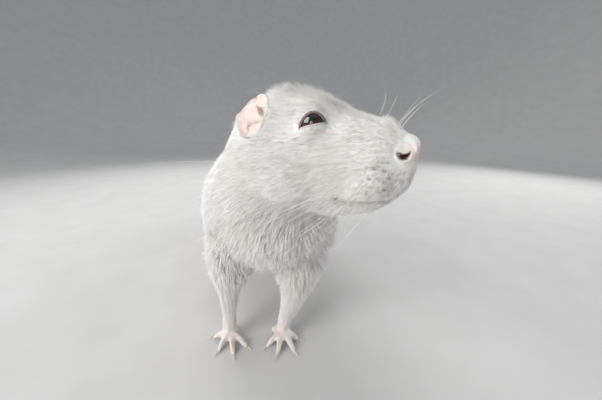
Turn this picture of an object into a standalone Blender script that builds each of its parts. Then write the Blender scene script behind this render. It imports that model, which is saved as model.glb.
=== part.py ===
"""A white pet rat, life size: it stands on stretched forelegs with its hindquarters
crouched, its tail on the floor and its head raised and turned to its left.

The rat faces -Y, its left side is +X and the floor is z = 0. The body is lofted from rings
set along named paths, merged into one skin and then parted by thin cuts into the pieces
that a person would name. Sizes in the tables are in millimetres.
"""

import math

import bmesh
import bpy
import numpy as np
from mathutils import Matrix, Vector

MM = 0.001

# Driving sizes, in millimetres
CUT = 0.34  # width of each parting cut
COARSE = 0.9  # grid of the first merge, which rounds the joins of trunk, neck and head
FINE = 0.45  # grid of the second merge, fine enough for toes and ears
SKIN_TRIANGLES = 3300
BODY_SIDES = 36
LIMB_SIDES = 20
BOWL_SIDES = 14
EYE_RADIUS = 3.7
EYE_BACK, EYE_OUT, EYE_UP = 24.3, 8.4, 5.2  # its middle, in the head
TOE_RADIUS = 1.25
CLAW_RADIUS = 0.55
FLOOR_OVERLAP = 0.35  # how far soles and tail are pressed below the floor, then cut flat

# The head's pose: where the tip of its nose is, and how it is turned
NOSE_TIP = Vector((39.5, 50.0, 89.5))
HEAD_TURN = math.radians(49.0)  # to the rat's left of straight ahead
HEAD_LIFT = math.radians(3.0)
HEAD_ROLL = math.radians(-6.0)

HEAD_FORWARD = Vector(
    (
        math.sin(HEAD_TURN) * math.cos(HEAD_LIFT),
        -math.cos(HEAD_TURN) * math.cos(HEAD_LIFT),
        math.sin(HEAD_LIFT),
    )
)
LEVEL_LEFT = Vector((0, 0, 1)).cross(HEAD_FORWARD).normalized()
LEVEL_UP = HEAD_FORWARD.cross(LEVEL_LEFT)
HEAD_LEFT = LEVEL_LEFT * math.cos(HEAD_ROLL) + LEVEL_UP * math.sin(HEAD_ROLL)
HEAD_UP = HEAD_FORWARD.cross(HEAD_LEFT)


def in_head(back, left, up):
    """The place of a point of the head: back from the nose tip, to the left, and up."""
    return NOSE_TIP - HEAD_FORWARD * back + HEAD_LEFT * left + HEAD_UP * up


# Rings of the head: back from the nose tip, height of the widest line, half width,
# then how far the ring rises and drops from the widest line
HEAD_RINGS = (
    (1.3, -1.2, 1.6, 1.6, 1.6),
    (1.6, -1.3, 3.0, 3.4, 3.0),
    (2.2, -1.6, 3.9, 4.9, 4.6),
    (3.2, -2.0, 4.7, 6.0, 7.0),
    (4.6, -2.4, 5.6, 7.2, 9.6),
    (7.0, -2.8, 7.2, 8.9, 12.0),
    (10.5, -3.2, 8.6, 10.2, 14.4),
    (15.0, -3.2, 9.7, 11.6, 15.8),
    (20.0, -3.0, 10.9, 13.8, 16.4),
    (25.0, -2.6, 12.2, 15.5, 16.2),
    (31.0, -2.2, 13.4, 17.3, 15.6),
    (37.0, -2.2, 14.0, 19.0, 15.0),
    (43.0, -2.8, 13.6, 18.2, 14.6),
    (50.0, -4.6, 11.6, 13.6, 14.0),
    (56.0, -6.4, 8.8, 9.4, 11.0),
)

# Rings of the trunk and neck, from the rump forward: x, y, z, half width, rise, drop
TRUNK_RINGS = (
    (0.0, 262.0, 23.0, 8.0, 8.0, 9.0),
    (0.0, 254.0, 29.0, 19.0, 19.0, 17.0),
    (0.0, 240.0, 36.0, 27.0, 30.0, 25.0),
    (0.0, 220.0, 42.0, 31.0, 36.0, 30.0),
    (0.5, 196.0, 47.0, 32.0, 37.5, 33.0),
    (1.0, 170.0, 50.5, 31.0, 36.5, 32.5),
    (2.0, 144.0, 54.0, 28.0, 33.5, 30.0),
    (4.0, 120.0, 59.0, 26.0, 30.0, 27.0),
    (5.5, 102.0, 63.0, 26.0, 27.0, 28.0),
    (8.5, 91.0, 69.5, 24.0, 22.5, 26.0),
    (11.0, 82.0, 77.5, 20.0, 17.5, 22.0),
    (15.0, 73.0, 85.0, 14.0, 12.5, 14.0),
)


def catmull_rom(rows, steps):
    """A smooth curve through all rows, steps points to a span, each column on its own."""
    rows = np.array(rows, float)
    padded = np.vstack([2 * rows[0] - rows[1], rows, 2 * rows[-1] - rows[-2]])
    found = []
    for before, start, end, after in zip(padded, padded[1:], padded[2:], padded[3:]):
        for step in range(steps):
            t = step / steps
            found.append(
                0.5
                * (
                    2 * start
                    + (end - before) * t
                    + (2 * before - 5 * start + 4 * end - after) * t**2
                    + (3 * start - before - 3 * end + after) * t**3
                )
            )
    found.append(padded[-2])
    return np.array(found)


def new_object(name, vertices, faces):
    """A mesh object, from points in millimetres."""
    mesh = bpy.data.meshes.new(name)
    mesh.from_pydata([tuple(p) for p in np.array(vertices) * MM], [], faces)
    bm = bmesh.new()
    bm.from_mesh(mesh)
    bmesh.ops.recalc_face_normals(bm, faces=bm.faces)
    bm.to_mesh(mesh)
    bm.free()
    made = bpy.data.objects.new(name, mesh)
    bpy.context.scene.collection.objects.link(made)
    return made


def rounded_ends(rings):
    """Rings of x, y, z, half width, rise and drop, with a round cap added at each end."""
    ends = []
    for ring, inner in ((rings[0], rings[1]), (rings[-1], rings[-2])):
        outward = ring[:3] - inner[:3]
        outward /= np.linalg.norm(outward)
        radius = ring[3:].mean()
        cap = []
        for angle in (30, 60, 80):
            turn = math.radians(angle)
            centre = ring[:3] + outward * radius * math.sin(turn)
            cap.append(np.concatenate([centre, ring[3:] * math.cos(turn)]))
        ends.append(cap)
    return np.vstack([ends[0][::-1], rings, ends[1]])


def loft(name, rings, upward, sides=LIMB_SIDES, steps=5, rounded=True):
    """A closed tube through rings of x, y, z, half width, rise and drop. Its rise points
    as near to upward as the path allows."""
    rings = catmull_rom(rings, steps)
    if rounded:
        rings = rounded_ends(rings)
    centres = rings[:, :3]
    along = np.gradient(centres, axis=0)
    along /= np.linalg.norm(along, axis=1)[:, None]
    aside = np.cross(along, np.array(upward, float))
    aside /= np.linalg.norm(aside, axis=1)[:, None]
    rise = np.cross(aside, along)
    turn = np.arange(sides) * 2 * math.pi / sides
    height = np.where(np.sin(turn) > 0, rings[:, 4:5], rings[:, 5:6]) * np.sin(turn)
    points = (
        centres[:, None]
        + aside[:, None] * (rings[:, 3:4] * np.cos(turn))[:, :, None]
        + rise[:, None] * height[:, :, None]
    )
    faces = [list(range(sides)), [len(rings) * sides - 1 - k for k in range(sides)]]
    for ring in range(len(rings) - 1):
        for side in range(sides):
            a, b = ring * sides + side, ring * sides + (side + 1) % sides
            faces.append([a, a + sides, b + sides, b])
    return new_object(name, points.reshape(-1, 3), faces)


def ellipsoid(name, centre, radii, turn=None, segments=32):
    """An ellipsoid, in millimetres; turn is the matrix whose columns are its axes."""
    bpy.ops.mesh.primitive_uv_sphere_add(segments=segments, ring_count=segments // 2)
    made = bpy.context.object
    made.name = name
    axes = turn.to_4x4() if turn else Matrix.Identity(4)
    scale = Matrix.Diagonal((*(r * MM for r in radii), 1))
    made.data.transform(Matrix.Translation(Vector(centre) * MM) @ axes @ scale)
    return made


def head_axes():
    """The matrix whose columns are the head's forward, left and up."""
    return Matrix((HEAD_FORWARD, HEAD_LEFT, HEAD_UP)).transposed()


def merged(name, pieces, grid):
    """The pieces merged into one skin by a voxel remesh of that grid."""
    bpy.ops.object.select_all(action="DESELECT")
    for piece in pieces:
        piece.select_set(True)
    bpy.context.view_layer.objects.active = pieces[0]
    bpy.ops.object.join()
    whole = bpy.context.object
    whole.name = name
    remesh = whole.modifiers.new("merge", "REMESH")
    remesh.mode = "VOXEL"
    remesh.voxel_size = grid * MM
    return whole


def applied(obj):
    """The object with its modifiers made part of its mesh."""
    graph = bpy.context.evaluated_depsgraph_get()
    mesh = bpy.data.meshes.new_from_object(obj.evaluated_get(graph))
    obj.modifiers.clear()
    obj.data = mesh
    return obj


def smooth(obj, rounds, weight=None):
    """Smooths the mesh; weight, from 0 to 1, is worked out from each point in mm."""
    modifier = obj.modifiers.new("smooth", "SMOOTH")
    modifier.factor = 0.5
    modifier.iterations = rounds
    if weight:
        group = obj.vertex_groups.new(name="softness")
        for vertex in obj.data.vertices:
            group.add([vertex.index], weight(vertex.co / MM), "REPLACE")
        modifier.vertex_group = group.name
    applied(obj)
    obj.vertex_groups.clear()


# ---------------------------------------------------------------- the head
# Swellings on each side of the head: back, out and up, then half length, width and height
HEAD_SWELLINGS = {
    "nostril": ((2.3, 2.5, -1.4), (2.4, 2.2, 2.7)),
    "whisker_pad": ((11.0, 4.8, -7.8), (6.4, 5.0, 6.4)),
    "brow": ((25.0, 6.2, 8.4), (6.6, 3.6, 4.2)),
    "cheek": ((31.0, 7.6, -7.0), (9.6, 6.4, 8.8)),
}


def head_pieces():
    """The head's loft, and the swellings on both of its sides."""
    rings = [
        (*in_head(back, 0, level), width, rise, drop)
        for back, level, width, rise, drop in HEAD_RINGS
    ]
    pieces = [loft("head", rings, HEAD_UP, BODY_SIDES)]
    for side in (-1, 1):
        for name, ((back, out, up), radii) in HEAD_SWELLINGS.items():
            pieces.append(ellipsoid(name, in_head(back, side * out, up), radii, head_axes()))
    return pieces


EAR_ROOT = (41.5, 11.8, 6.0)  # back, left and up in the head
EAR_HEIGHT = 12.5
EAR_HALF_WIDTH = 5.9
EAR_WALL = 1.25
EAR_CUP = 2.6  # depth of the hollow
EAR_DEPTH = 3.5  # how far the ear reaches into the head
EAR_SLOT = 0.5  # space left round it there
EAR_ROWS, EAR_COLUMNS = 9, 8


def ear_lengthwise(side):
    """The direction from an ear's root to its tip; side is 1 on the left, -1 on the right."""
    return (HEAD_UP * 0.82 - HEAD_LEFT * side * 0.45 - HEAD_FORWARD * 0.35).normalized()


def ear(side, grow=0.0):
    """A cupped leaf: an egg-shaped outline, bent round its length, with an even wall. It
    starts inside the head. grow makes it larger on all sides, for the slot it stands in."""
    root = in_head(EAR_ROOT[0], side * EAR_ROOT[1], EAR_ROOT[2])
    lengthwise = ear_lengthwise(side)
    across = HEAD_LEFT * side * 0.3 - HEAD_FORWARD * 0.6 - HEAD_UP * 0.7
    across = (across - lengthwise * across.dot(lengthwise)).normalized()
    opening = across.cross(lengthwise) * side
    outer, inner = [], []
    for row in range(EAR_ROWS):
        v = row / (EAR_ROWS - 1)
        height = (EAR_HEIGHT + EAR_DEPTH) * v - EAR_DEPTH + grow * (2 * v - 1)
        width = EAR_HALF_WIDTH * (0.55 + 0.45 * math.sin(math.pi * min(v, 0.5)))
        taper = max(0.0, (v - 0.5) / 0.5)
        width = width * math.sqrt(max(0.0, 1 - taper**2.4)) + 0.25
        for column in range(EAR_COLUMNS):
            u = 2 * column / (EAR_COLUMNS - 1) - 1
            aside = u * (width + grow)
            hollow = EAR_CUP * (1 - (aside / width) ** 2) * (1 - 0.75 * v)
            lean = 1.2 * v * v
            wall = (EAR_WALL + 2 * grow) * (0.8 + 0.2 * math.sqrt(1 - u * u))
            point = root + lengthwise * height + across * aside - opening * (hollow + lean)
            outer.append(point - opening * wall / 2)
            inner.append(point + opening * wall / 2)
    count = EAR_ROWS * EAR_COLUMNS

    def at(layer, row, column):
        return layer * count + row * EAR_COLUMNS + column

    faces = []
    for row in range(EAR_ROWS - 1):
        for column in range(EAR_COLUMNS - 1):
            square = ((row, column), (row, column + 1), (row + 1, column + 1), (row + 1, column))
            faces += [[at(layer, *corner) for corner in square] for layer in (0, 1)]
    rim = (
        [(0, c) for c in range(EAR_COLUMNS)]
        + [(r, EAR_COLUMNS - 1) for r in range(1, EAR_ROWS)]
        + [(EAR_ROWS - 1, c) for c in range(EAR_COLUMNS - 2, -1, -1)]
        + [(r, 0) for r in range(EAR_ROWS - 2, 0, -1)]
    )
    for here, there in zip(rim, rim[1:] + rim[:1]):
        faces.append([at(0, *here), at(0, *there), at(1, *there), at(1, *here)])
    return new_object("ear", [tuple(p) for p in outer + inner], faces)


# ---------------------------------------------------------------- the legs
# Rings of each leg from the body down: x, y, z, half width, front, back
FORELEG_RINGS = {
    "right": (
        (-8.6, 103.0, 62.0, 10.0, 15.0, 17.0),
        (-10.6, 99.0, 50.0, 9.8, 13.0, 18.0),
        (-11.6, 99.6, 40.0, 9.2, 10.8, 13.6),
        (-12.4, 99.4, 31.0, 7.3, 7.8, 9.4),
        (-13.2, 98.2, 22.0, 4.9, 5.0, 5.9),
        (-13.7, 96.4, 14.0, 3.5, 3.3, 3.5),
        (-13.9, 94.9, 8.0, 3.0, 2.6, 2.7),
        (-14.2, 94.0, 4.2, 3.0, 2.4, 2.6),
    ),
    "left": (
        (17.0, 98.0, 62.0, 10.4, 15.0, 17.0),
        (19.6, 94.0, 50.0, 10.4, 13.0, 18.0),
        (20.8, 94.6, 40.0, 10.0, 10.8, 13.6),
        (19.8, 95.0, 31.0, 8.8, 8.4, 9.8),
        (17.6, 94.0, 22.0, 6.8, 6.2, 7.0),
        (14.4, 92.0, 14.0, 4.6, 4.0, 4.6),
        (11.4, 90.4, 8.0, 3.1, 2.7, 2.9),
        (10.2, 89.3, 4.2, 3.0, 2.4, 2.6),
    ),
}
SHOULDERS = (
    # middle, then half width, length and height, of the left and the right shoulder
    ((22.5, 92.0, 56.0), (10.5, 13.0, 16.0)),
    ((-9.5, 99.0, 57.0), (11.0, 13.0, 15.0)),
)
PALM = {"right": Vector((-14.4, 93.0, 0)), "left": Vector((9.9, 88.2, 0))}
# Each toe of a forefoot, from the inner side out: its turn from straight ahead
# (outward is positive) and its length from the middle of the palm
FORE_TOES = {
    "right": ((-43, 10.2), (-11, 10.6), (32, 8.4), (100, 7.0)),
    "left": ((-57, 8.2), (-21, 10.4), (22, 10.2), (60, 7.0)),
}
TOE_SPREAD = 2.3  # how far the outer toes' roots lie from the middle of the palm
PALM_RADII = (3.7, 4.2, 2.5)
THUMB_RADII = (1.3, 1.6, 1.3)
TOE_HEIGHT = 2.6  # of a toe's root above the floor
# A toe along its length: share of its length, of its root's height, and of its radius
TOE_SHAPE = (
    (0.0, 1.0, 1.12),
    (0.35, 0.95, 1.0),
    (0.55, 0.75, 1.04),
    (0.8, 0.35, 0.88),
    (1.0, 0.0, 0.8),
)

HIND_RINGS = (
    # haunch, shank and hock of the right leg, x mirrored for the left
    (19.0, 229.0, 50.0, 10.0, 19.0, 17.0),
    (23.0, 218.0, 40.0, 13.0, 22.0, 20.0),
    (26.5, 208.0, 29.0, 12.0, 19.0, 19.0),
    (28.0, 202.0, 19.0, 9.0, 12.0, 13.0),
    (28.0, 208.0, 12.0, 6.6, 7.0, 7.5),
    (27.0, 221.0, 9.0, 5.0, 4.6, 5.0),
    (25.5, 233.0, 7.0, 3.8, 3.4, 3.8),
)
HEEL = Vector((24.5, 238.0, 3.4))
INSTEP = Vector((29.0, 213.0, 3.2))
HIND_TOES = ((-26, 9.0), (-9, 13.5), (2, 14.5), (13, 14.0), (32, 9.5))
HIND_TURN = 9.0  # degrees that the hind foot points outward
# The sole at heel, middle, instep and toe roots: half width, rise and drop
SOLE_SHAPE = ((3.6, 3.2, 3.6), (4.0, 3.4, 3.2), (5.0, 2.8, 3.2), (4.6, 2.2, 2.8))
SOLE_OVERHANG = 3.0  # how far the sole goes on past the instep
HIND_TOE_HEIGHT = 2.8
HIND_TOE_RADIUS = 1.3
HIND_TOE_GAP = 1.9  # between the roots of neighbouring hind toes
OUTER_TOE_BACK = 5.0  # how far the first and last toes' roots lie behind the others


def toe(name, root, turn, length, height, radius):
    """A toe that arches from its root to the floor; turn is from -Y towards +X."""
    heading = Vector((math.sin(turn), -math.cos(turn), 0))
    rows = []
    for share, lift, thickness in TOE_SHAPE:
        thick = radius * thickness
        low = thick - FLOOR_OVERLAP
        centre = root + heading * length * share
        rows.append((centre.x, centre.y, low + (height - low) * lift, thick, thick, thick))
    return loft(name, rows, (0, 0, 1), 12, 4), heading, Vector(rows[-1][:3])


def claw(name, start, heading, radius=CLAW_RADIUS, length=1.9):
    """A thin cone that bends down from the toe's end to just above the floor."""
    rows = []
    for share in (0.0, 0.5, 1.0):
        centre = start + heading * length * share
        height = start.z + 0.25 - (start.z - 0.12) * share**1.6
        thick = radius * (1 - 0.72 * share)
        rows.append((centre.x, centre.y, max(height, thick + 0.05), thick * 0.8, thick, thick))
    return loft(name, rows, (0, 0, 1), 5, 1, rounded=False)


def forefoot(side):
    """The palm, four toes and the knob of a thumb, and the toes' claws."""
    sign = 1 if side == "left" else -1
    palm = PALM[side]
    flesh = [
        ellipsoid("palm", palm + Vector((0, 0.4, 2.2)), PALM_RADII),
        ellipsoid("thumb", palm + Vector((-sign * 3.6, 2.4, 2.6)), THUMB_RADII),
    ]
    claws = []
    for digit, (degrees, length) in enumerate(FORE_TOES[side], 2):
        turn = math.radians(degrees) * sign
        aside = (digit - 3.5) / 1.5 * TOE_SPREAD * sign
        root = palm + Vector((aside, -0.6 - 1.2 * math.cos(turn), 0))
        reach = length - 2.4
        flesh_toe, heading, end = toe("toe", root, turn, reach, TOE_HEIGHT, TOE_RADIUS)
        flesh.append(flesh_toe)
        start = end + heading * (TOE_RADIUS * 0.8 + 0.3)
        claws.append(claw(f"claw_fore_{side}_{digit}", start, heading))
    return flesh, claws


def hind_foot(side):
    """The long flat hind foot with five toes, and the toes' claws."""
    sign = 1 if side == "left" else -1
    mirror = Vector((sign, 1, 1))
    heel, instep = HEEL * mirror, INSTEP * mirror
    front = instep + (instep - heel).normalized() * SOLE_OVERHANG
    places = (heel, (heel + instep) / 2, instep, front)
    rows = [(*place, *shape) for place, shape in zip(places, SOLE_SHAPE)]
    flesh = [loft("sole", rows, (0, 0, 1), 16, 5)]
    claws = []
    for digit, (degrees, length) in enumerate(HIND_TOES, 1):
        turn = math.radians(degrees + HIND_TURN) * sign
        back = OUTER_TOE_BACK if digit in (1, 5) else 0.0
        root = instep + Vector((sign * (digit - 3) * HIND_TOE_GAP, back, 0))
        reach = length - 2.6
        flesh_toe, heading, end = toe(
            "toe", root, turn, reach, HIND_TOE_HEIGHT, HIND_TOE_RADIUS
        )
        flesh.append(flesh_toe)
        start = end + heading * (HIND_TOE_RADIUS * 0.8 + 0.3)
        claws.append(claw(f"claw_hind_{side}_{digit}", start, heading, length=2.6))
    return flesh, claws


# ---------------------------------------------------------------- the tail
# From the rump to the tip: x, y, z, radius
TAIL_PATH = (
    (0.0, 256.0, 25.0, 6.4),
    (0.5, 266.0, 15.5, 5.6),
    (2.5, 279.0, 8.0, 4.9),
    (8.0, 299.0, 4.4, 4.5),
    (19.0, 327.0, 3.7, 4.0),
    (34.0, 354.0, 3.1, 3.4),
    (49.0, 381.0, 2.4, 2.7),
    (56.5, 408.0, 1.7, 2.0),
    (53.5, 434.0, 0.85, 1.1),
)
TAIL_CUTS = ((0, 0.8), (2, 0.8), (4, 0.6), (6, 0.2))  # a row of the path, and how far past it


def tail():
    rows = [(x, y, z, r, r, r) for x, y, z, r in TAIL_PATH]
    return loft("tail", rows, (0, 0, 1), 16, 6)


# ---------------------------------------------------------------- cuts
# Bowls that part nose, lower jaw and head from what is behind them: middle in the head
# (back, left and up), then half length, width and height
HEAD_BOWLS = (
    ((0.6, 0, -1.4), (3.5, 4.9, 3.9)),
    ((12.0, 0, -19.6), (17.0, 16.0, 6.5)),
    ((28.0, 0, 5.0), (33.0, 22.0, 28.0)),
)
# Discs that part neck, chest, belly and rump: middle, the way they face, radius
TRUNK_DISCS = (
    ((4.5, 95.5, 69.0), (0.15, -0.80, 0.55), 36),
    ((2.5, 136.0, 56.0), (0, 1, -0.12), 45),
    ((0.0, 247.0, 34.0), (0, 1, 0), 36),
)
HAUNCH_BOWL = (28.0, 213.0, 34.0)  # on the left side
HAUNCH_BOWL_RADII = (18.0, 31.0, 27.5)
ELBOW_DISC_FACES = (0.55, 0.38, 0.74)  # on the right side
ELBOW_DISC_SHARE = 0.38  # of the way from the third ring of the foreleg to the fourth
ELBOW_DISC_RADIUS = 22
WRIST_DISC_RADIUS = 8
TAIL_DISC_RADIUS = 12


def disc(centre, normal, radius):
    """A thin round blade that parts what it passes through."""
    bpy.ops.mesh.primitive_cylinder_add(vertices=32, radius=radius * MM, depth=CUT * MM)
    made = bpy.context.object
    turn = Vector(normal).normalized().to_track_quat("Z", "Y").to_matrix().to_4x4()
    made.data.transform(Matrix.Translation(Vector(centre) * MM) @ turn)
    return made


def bowl(centre, radii, turn=None):
    """A thin hollow shell that parts what is inside it from what is outside."""
    outer = ellipsoid("bowl", centre, [r + CUT / 2 for r in radii], turn, BOWL_SIDES)
    inner = ellipsoid("bowl_inner", centre, [r - CUT / 2 for r in radii], turn, BOWL_SIDES)
    inner.data.flip_normals()
    bpy.ops.object.select_all(action="DESELECT")
    outer.select_set(True)
    inner.select_set(True)
    bpy.context.view_layer.objects.active = outer
    bpy.ops.object.join()
    return outer


def cut(obj, cutter):
    modifier = obj.modifiers.new("cut", "BOOLEAN")
    modifier.operation = "DIFFERENCE"
    modifier.solver = "EXACT"
    modifier.object = cutter
    applied(obj)
    bpy.data.objects.remove(cutter)


def point_on(rows, index, share=0.0):
    """A point of a ring table, share of the way to the next, and the path's direction."""
    here, there = Vector(rows[index][:3]), Vector(rows[index + 1][:3])
    return here.lerp(there, share), (there - here).normalized()


def blades():
    """Every cut of the skin."""
    axes = head_axes()
    found = [bowl(in_head(*middle), radii, axes) for middle, radii in HEAD_BOWLS]
    found += [disc(*row) for row in TRUNK_DISCS]
    for side, sign in (("left", 1), ("right", -1)):
        rings = FORELEG_RINGS[side]
        elbow_normal = Vector(ELBOW_DISC_FACES) * Vector((-sign, 1, 1))
        elbow = point_on(rings, 2, ELBOW_DISC_SHARE)[0]
        found.append(disc(elbow, elbow_normal, ELBOW_DISC_RADIUS))
        found.append(disc(*point_on(rings, 5, 0.6), WRIST_DISC_RADIUS))
        middle = Vector(HAUNCH_BOWL) * Vector((sign, 1, 1))
        found.append(bowl(middle, HAUNCH_BOWL_RADII))
    for index, share in TAIL_CUTS:
        found.append(disc(*point_on(TAIL_PATH, index, share), TAIL_DISC_RADIUS))
    return found


# ---------------------------------------------------------------- assembly
def whole_skin():
    """Trunk, neck, head, legs, ears and tail as one closed skin, and the claws."""
    body = [loft("trunk", TRUNK_RINGS, (0, 0, 1), BODY_SIDES, 6)]
    body += head_pieces()
    for rings in FORELEG_RINGS.values():
        body.append(loft("foreleg", rings[:4], (0, -1, 0), LIMB_SIDES, 5))
    for centre, radii in SHOULDERS:
        body.append(ellipsoid("shoulder", centre, radii))
    hind_legs = []
    for sign in (1, -1):
        rings = [(sign * x, y, z, w, f, b) for x, y, z, w, f, b in HIND_RINGS]
        hind_legs.append(rings)
        body.append(loft("haunch", rings[:5], (0, -1, 1), LIMB_SIDES, 5))
    whole = applied(merged("body", body, COARSE))
    smooth(whole, 16, lambda p: min(1.0, max(0.12, ((p - NOSE_TIP).length - 5) / 22)))
    finer, claws = [whole, tail()], []
    for side in ("left", "right"):
        finer.append(loft("foreleg", FORELEG_RINGS[side], (0, -1, 0), LIMB_SIDES, 5))
        for flesh, nails in (forefoot(side), hind_foot(side)):
            finer += flesh
            claws += nails
    for rings in hind_legs:
        finer.append(loft("shank", rings[3:], (0, -1, 1), LIMB_SIDES, 5))
    whole = applied(merged("skin", finer, FINE))
    smooth(whole, 3)
    return whole, claws


def cleared():
    """Removes every object that the scene held."""
    for obj in list(bpy.data.objects):
        bpy.data.objects.remove(obj)


def simplified(obj, triangles):
    modifier = obj.modifiers.new("fewer", "DECIMATE")
    obj.data.calc_loop_triangles()
    modifier.ratio = triangles / len(obj.data.loop_triangles)
    return applied(obj)


def below_floor():
    """A block that fills the space under the floor."""
    bpy.ops.mesh.primitive_cube_add(size=1)
    block = bpy.context.object
    block.data.transform(Matrix.Diagonal((1, 1, 0.1, 1)))
    block.data.transform(Matrix.Translation((0, 0.2, -0.05)))
    return block


def eyeball(side, grow=0.0):
    """The whole ball of an eye; grow makes it larger, for the socket it sits in."""
    place = in_head(EYE_BACK, side * EYE_OUT, EYE_UP)
    return ellipsoid("eye", place, (EYE_RADIUS + grow,) * 3, head_axes(), 14)


def volume_and_centre(obj):
    """The volume in cubic millimetres, and the mean of the points in millimetres."""
    bm = bmesh.new()
    bm.from_mesh(obj.data)
    volume = abs(bm.calc_volume()) / MM**3
    centre = sum((v.co for v in bm.verts), Vector()) / len(bm.verts) / MM
    bm.free()
    return volume, centre


def loose_pieces(whole):
    """The loose pieces of the cut skin, each an object of its own, largest first."""
    bpy.ops.object.select_all(action="DESELECT")
    whole.select_set(True)
    bpy.context.view_layer.objects.active = whole
    others = set(bpy.data.objects) - {whole}
    bpy.ops.mesh.separate(type="LOOSE")
    pieces = set(bpy.data.objects) - others
    return sorted(pieces, key=lambda piece: -volume_and_centre(piece)[0])


# Each piece of the skin, and a point near its middle
PIECES = {
    "nose": in_head(2.0, 0, -1.0),
    "head": in_head(26.0, 0, 0),
    "lower_jaw": in_head(13.0, 0, -17.0),
    "neck": Vector((10.5, 84.0, 70.0)),
    "chest": Vector((4.5, 109.0, 53.5)),
    "belly": Vector((1.0, 198.0, 45.0)),
    "rump": Vector((0.0, 256.0, 31.0)),
    "tail_1": point_on(TAIL_PATH, 1, 0.9)[0],
    "tail_2": point_on(TAIL_PATH, 3, 0.7)[0],
    "tail_3": point_on(TAIL_PATH, 5, 0.4)[0],
    "tail_4": point_on(TAIL_PATH, 7, 0.1)[0],
    "haunch_left": Vector((26.0, 210.0, 26.0)),
    "haunch_right": Vector((-26.0, 210.0, 26.0)),
    "hind_foot_left": Vector((28.0, 214.0, 5.6)),
    "hind_foot_right": Vector((-28.0, 214.0, 5.6)),
    "foreleg_left": Vector((19.5, 93.1, 28.3)),
    "foreleg_right": Vector((-13.6, 97.8, 28.8)),
    "forefoot_left": Vector((10.3, 86.8, 3.6)),
    "forefoot_right": Vector((-14.1, 91.2, 3.4)),
}


def named(whole):
    """Each loose piece of the skin under its own name; crumbs of the cuts are removed."""
    pieces = loose_pieces(whole)
    free = dict(PIECES)
    for piece in pieces[: len(PIECES)]:
        centre = volume_and_centre(piece)[1]
        name = min(free, key=lambda key: (free[key] - centre).length)
        if (free.pop(name) - centre).length > 12:
            raise RuntimeError(f"no piece of the skin is where {name} should be")
        piece.name = name
        piece.data.name = name
    for crumb in pieces[len(PIECES) :]:
        bpy.data.objects.remove(crumb)


# ---------------------------------------------------------------- finish
# Colour and roughness of each finish
FINISHES = {
    "coat": ((0.86, 0.84, 0.80), 0.75),
    "bare_skin": ((0.86, 0.62, 0.58), 0.55),
    "claw": ((0.82, 0.72, 0.62), 0.35),
    "eye": ((0.05, 0.008, 0.01), 0.05),
}


def finish_of(name):
    """The finish of a node, from its name."""
    if name.startswith("claw"):
        return "claw"
    if name.startswith("eye"):
        return "eye"
    if name.startswith(("ear", "tail", "nose", "forefoot", "hind_foot")):
        return "bare_skin"
    return "coat"


def dressed(obj):
    """Gives the object its own material, and shades it smooth."""
    colour, roughness = FINISHES[finish_of(obj.name)]
    material = bpy.data.materials.new(obj.name)
    material.use_nodes = True
    shader = material.node_tree.nodes["Principled BSDF"]
    shader.inputs["Base Color"].default_value = (*colour, 1.0)
    shader.inputs["Roughness"].default_value = roughness
    shader.inputs["Metallic"].default_value = 0.0
    obj.data.materials.clear()
    obj.data.materials.append(material)
    obj.data.shade_smooth()
    obj.data.set_sharp_from_angle(angle=math.radians(50))


def centred():
    """Moves everything so that the origin is under the middle of the box, on the floor."""
    corners = [v.co for o in bpy.data.objects for v in o.data.vertices]
    low = Vector([min(c[axis] for c in corners) for axis in range(3)])
    high = Vector([max(c[axis] for c in corners) for axis in range(3)])
    shift = -Vector(((low.x + high.x) / 2, (low.y + high.y) / 2, low.z))
    for obj in bpy.data.objects:
        obj.data.transform(Matrix.Translation(shift))


def main():
    cleared()
    whole, claws = whole_skin()
    whole = simplified(whole, SKIN_TRIANGLES)
    cut(whole, below_floor())
    for side in (1, -1):
        cut(whole, ear(side, EAR_SLOT))
        cut(whole, eyeball(side, CUT))
    for blade in blades():
        cut(whole, blade)
    for nail in claws:
        cut(nail, below_floor())
    named(whole)
    for side, name in ((1, "left"), (-1, "right")):
        ear(side).name = f"ear_{name}"
        eyeball(side).name = f"eye_{name}"
    for obj in bpy.data.objects:
        dressed(obj)
    centred()


main()
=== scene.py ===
"""The looks of a life-size white pet rat: one skin with lids, lips, nostrils, thin ears and
scaly tail, a short coat of mesh tufts, whiskers, wet dark eyes, claws and a pale stage.

Lengths in the tables are in millimetres. "Head coordinates" are three numbers: back from
the tip of the nose, out to the rat's left, and up, all along the head's own axes.
"""

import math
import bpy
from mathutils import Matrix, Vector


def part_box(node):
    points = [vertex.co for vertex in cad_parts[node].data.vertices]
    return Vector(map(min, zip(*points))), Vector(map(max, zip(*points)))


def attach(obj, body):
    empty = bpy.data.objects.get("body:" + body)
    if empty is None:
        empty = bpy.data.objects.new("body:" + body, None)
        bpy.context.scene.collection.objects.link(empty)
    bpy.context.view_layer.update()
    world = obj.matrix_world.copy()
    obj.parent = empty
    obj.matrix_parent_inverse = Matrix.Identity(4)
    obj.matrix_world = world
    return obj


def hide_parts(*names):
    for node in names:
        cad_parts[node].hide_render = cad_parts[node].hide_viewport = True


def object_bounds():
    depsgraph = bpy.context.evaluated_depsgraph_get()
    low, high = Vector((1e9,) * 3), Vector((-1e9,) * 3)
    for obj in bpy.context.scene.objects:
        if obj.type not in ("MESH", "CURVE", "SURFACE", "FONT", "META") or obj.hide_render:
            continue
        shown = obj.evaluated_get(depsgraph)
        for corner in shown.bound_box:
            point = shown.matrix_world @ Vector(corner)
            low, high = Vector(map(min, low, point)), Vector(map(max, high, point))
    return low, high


bl_info = {
    "name": "White Pet Rat",
    "version": (1, 0, 0),
    "blender": (4, 5, 0),
    "location": "View3D > Sidebar > Rat",
    "description": "Skin, coat, whiskers, eyes, claws and stage of a standing white rat",
    "category": "Object",
}

import bpy
import numpy as np
from mathutils import Vector

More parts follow.
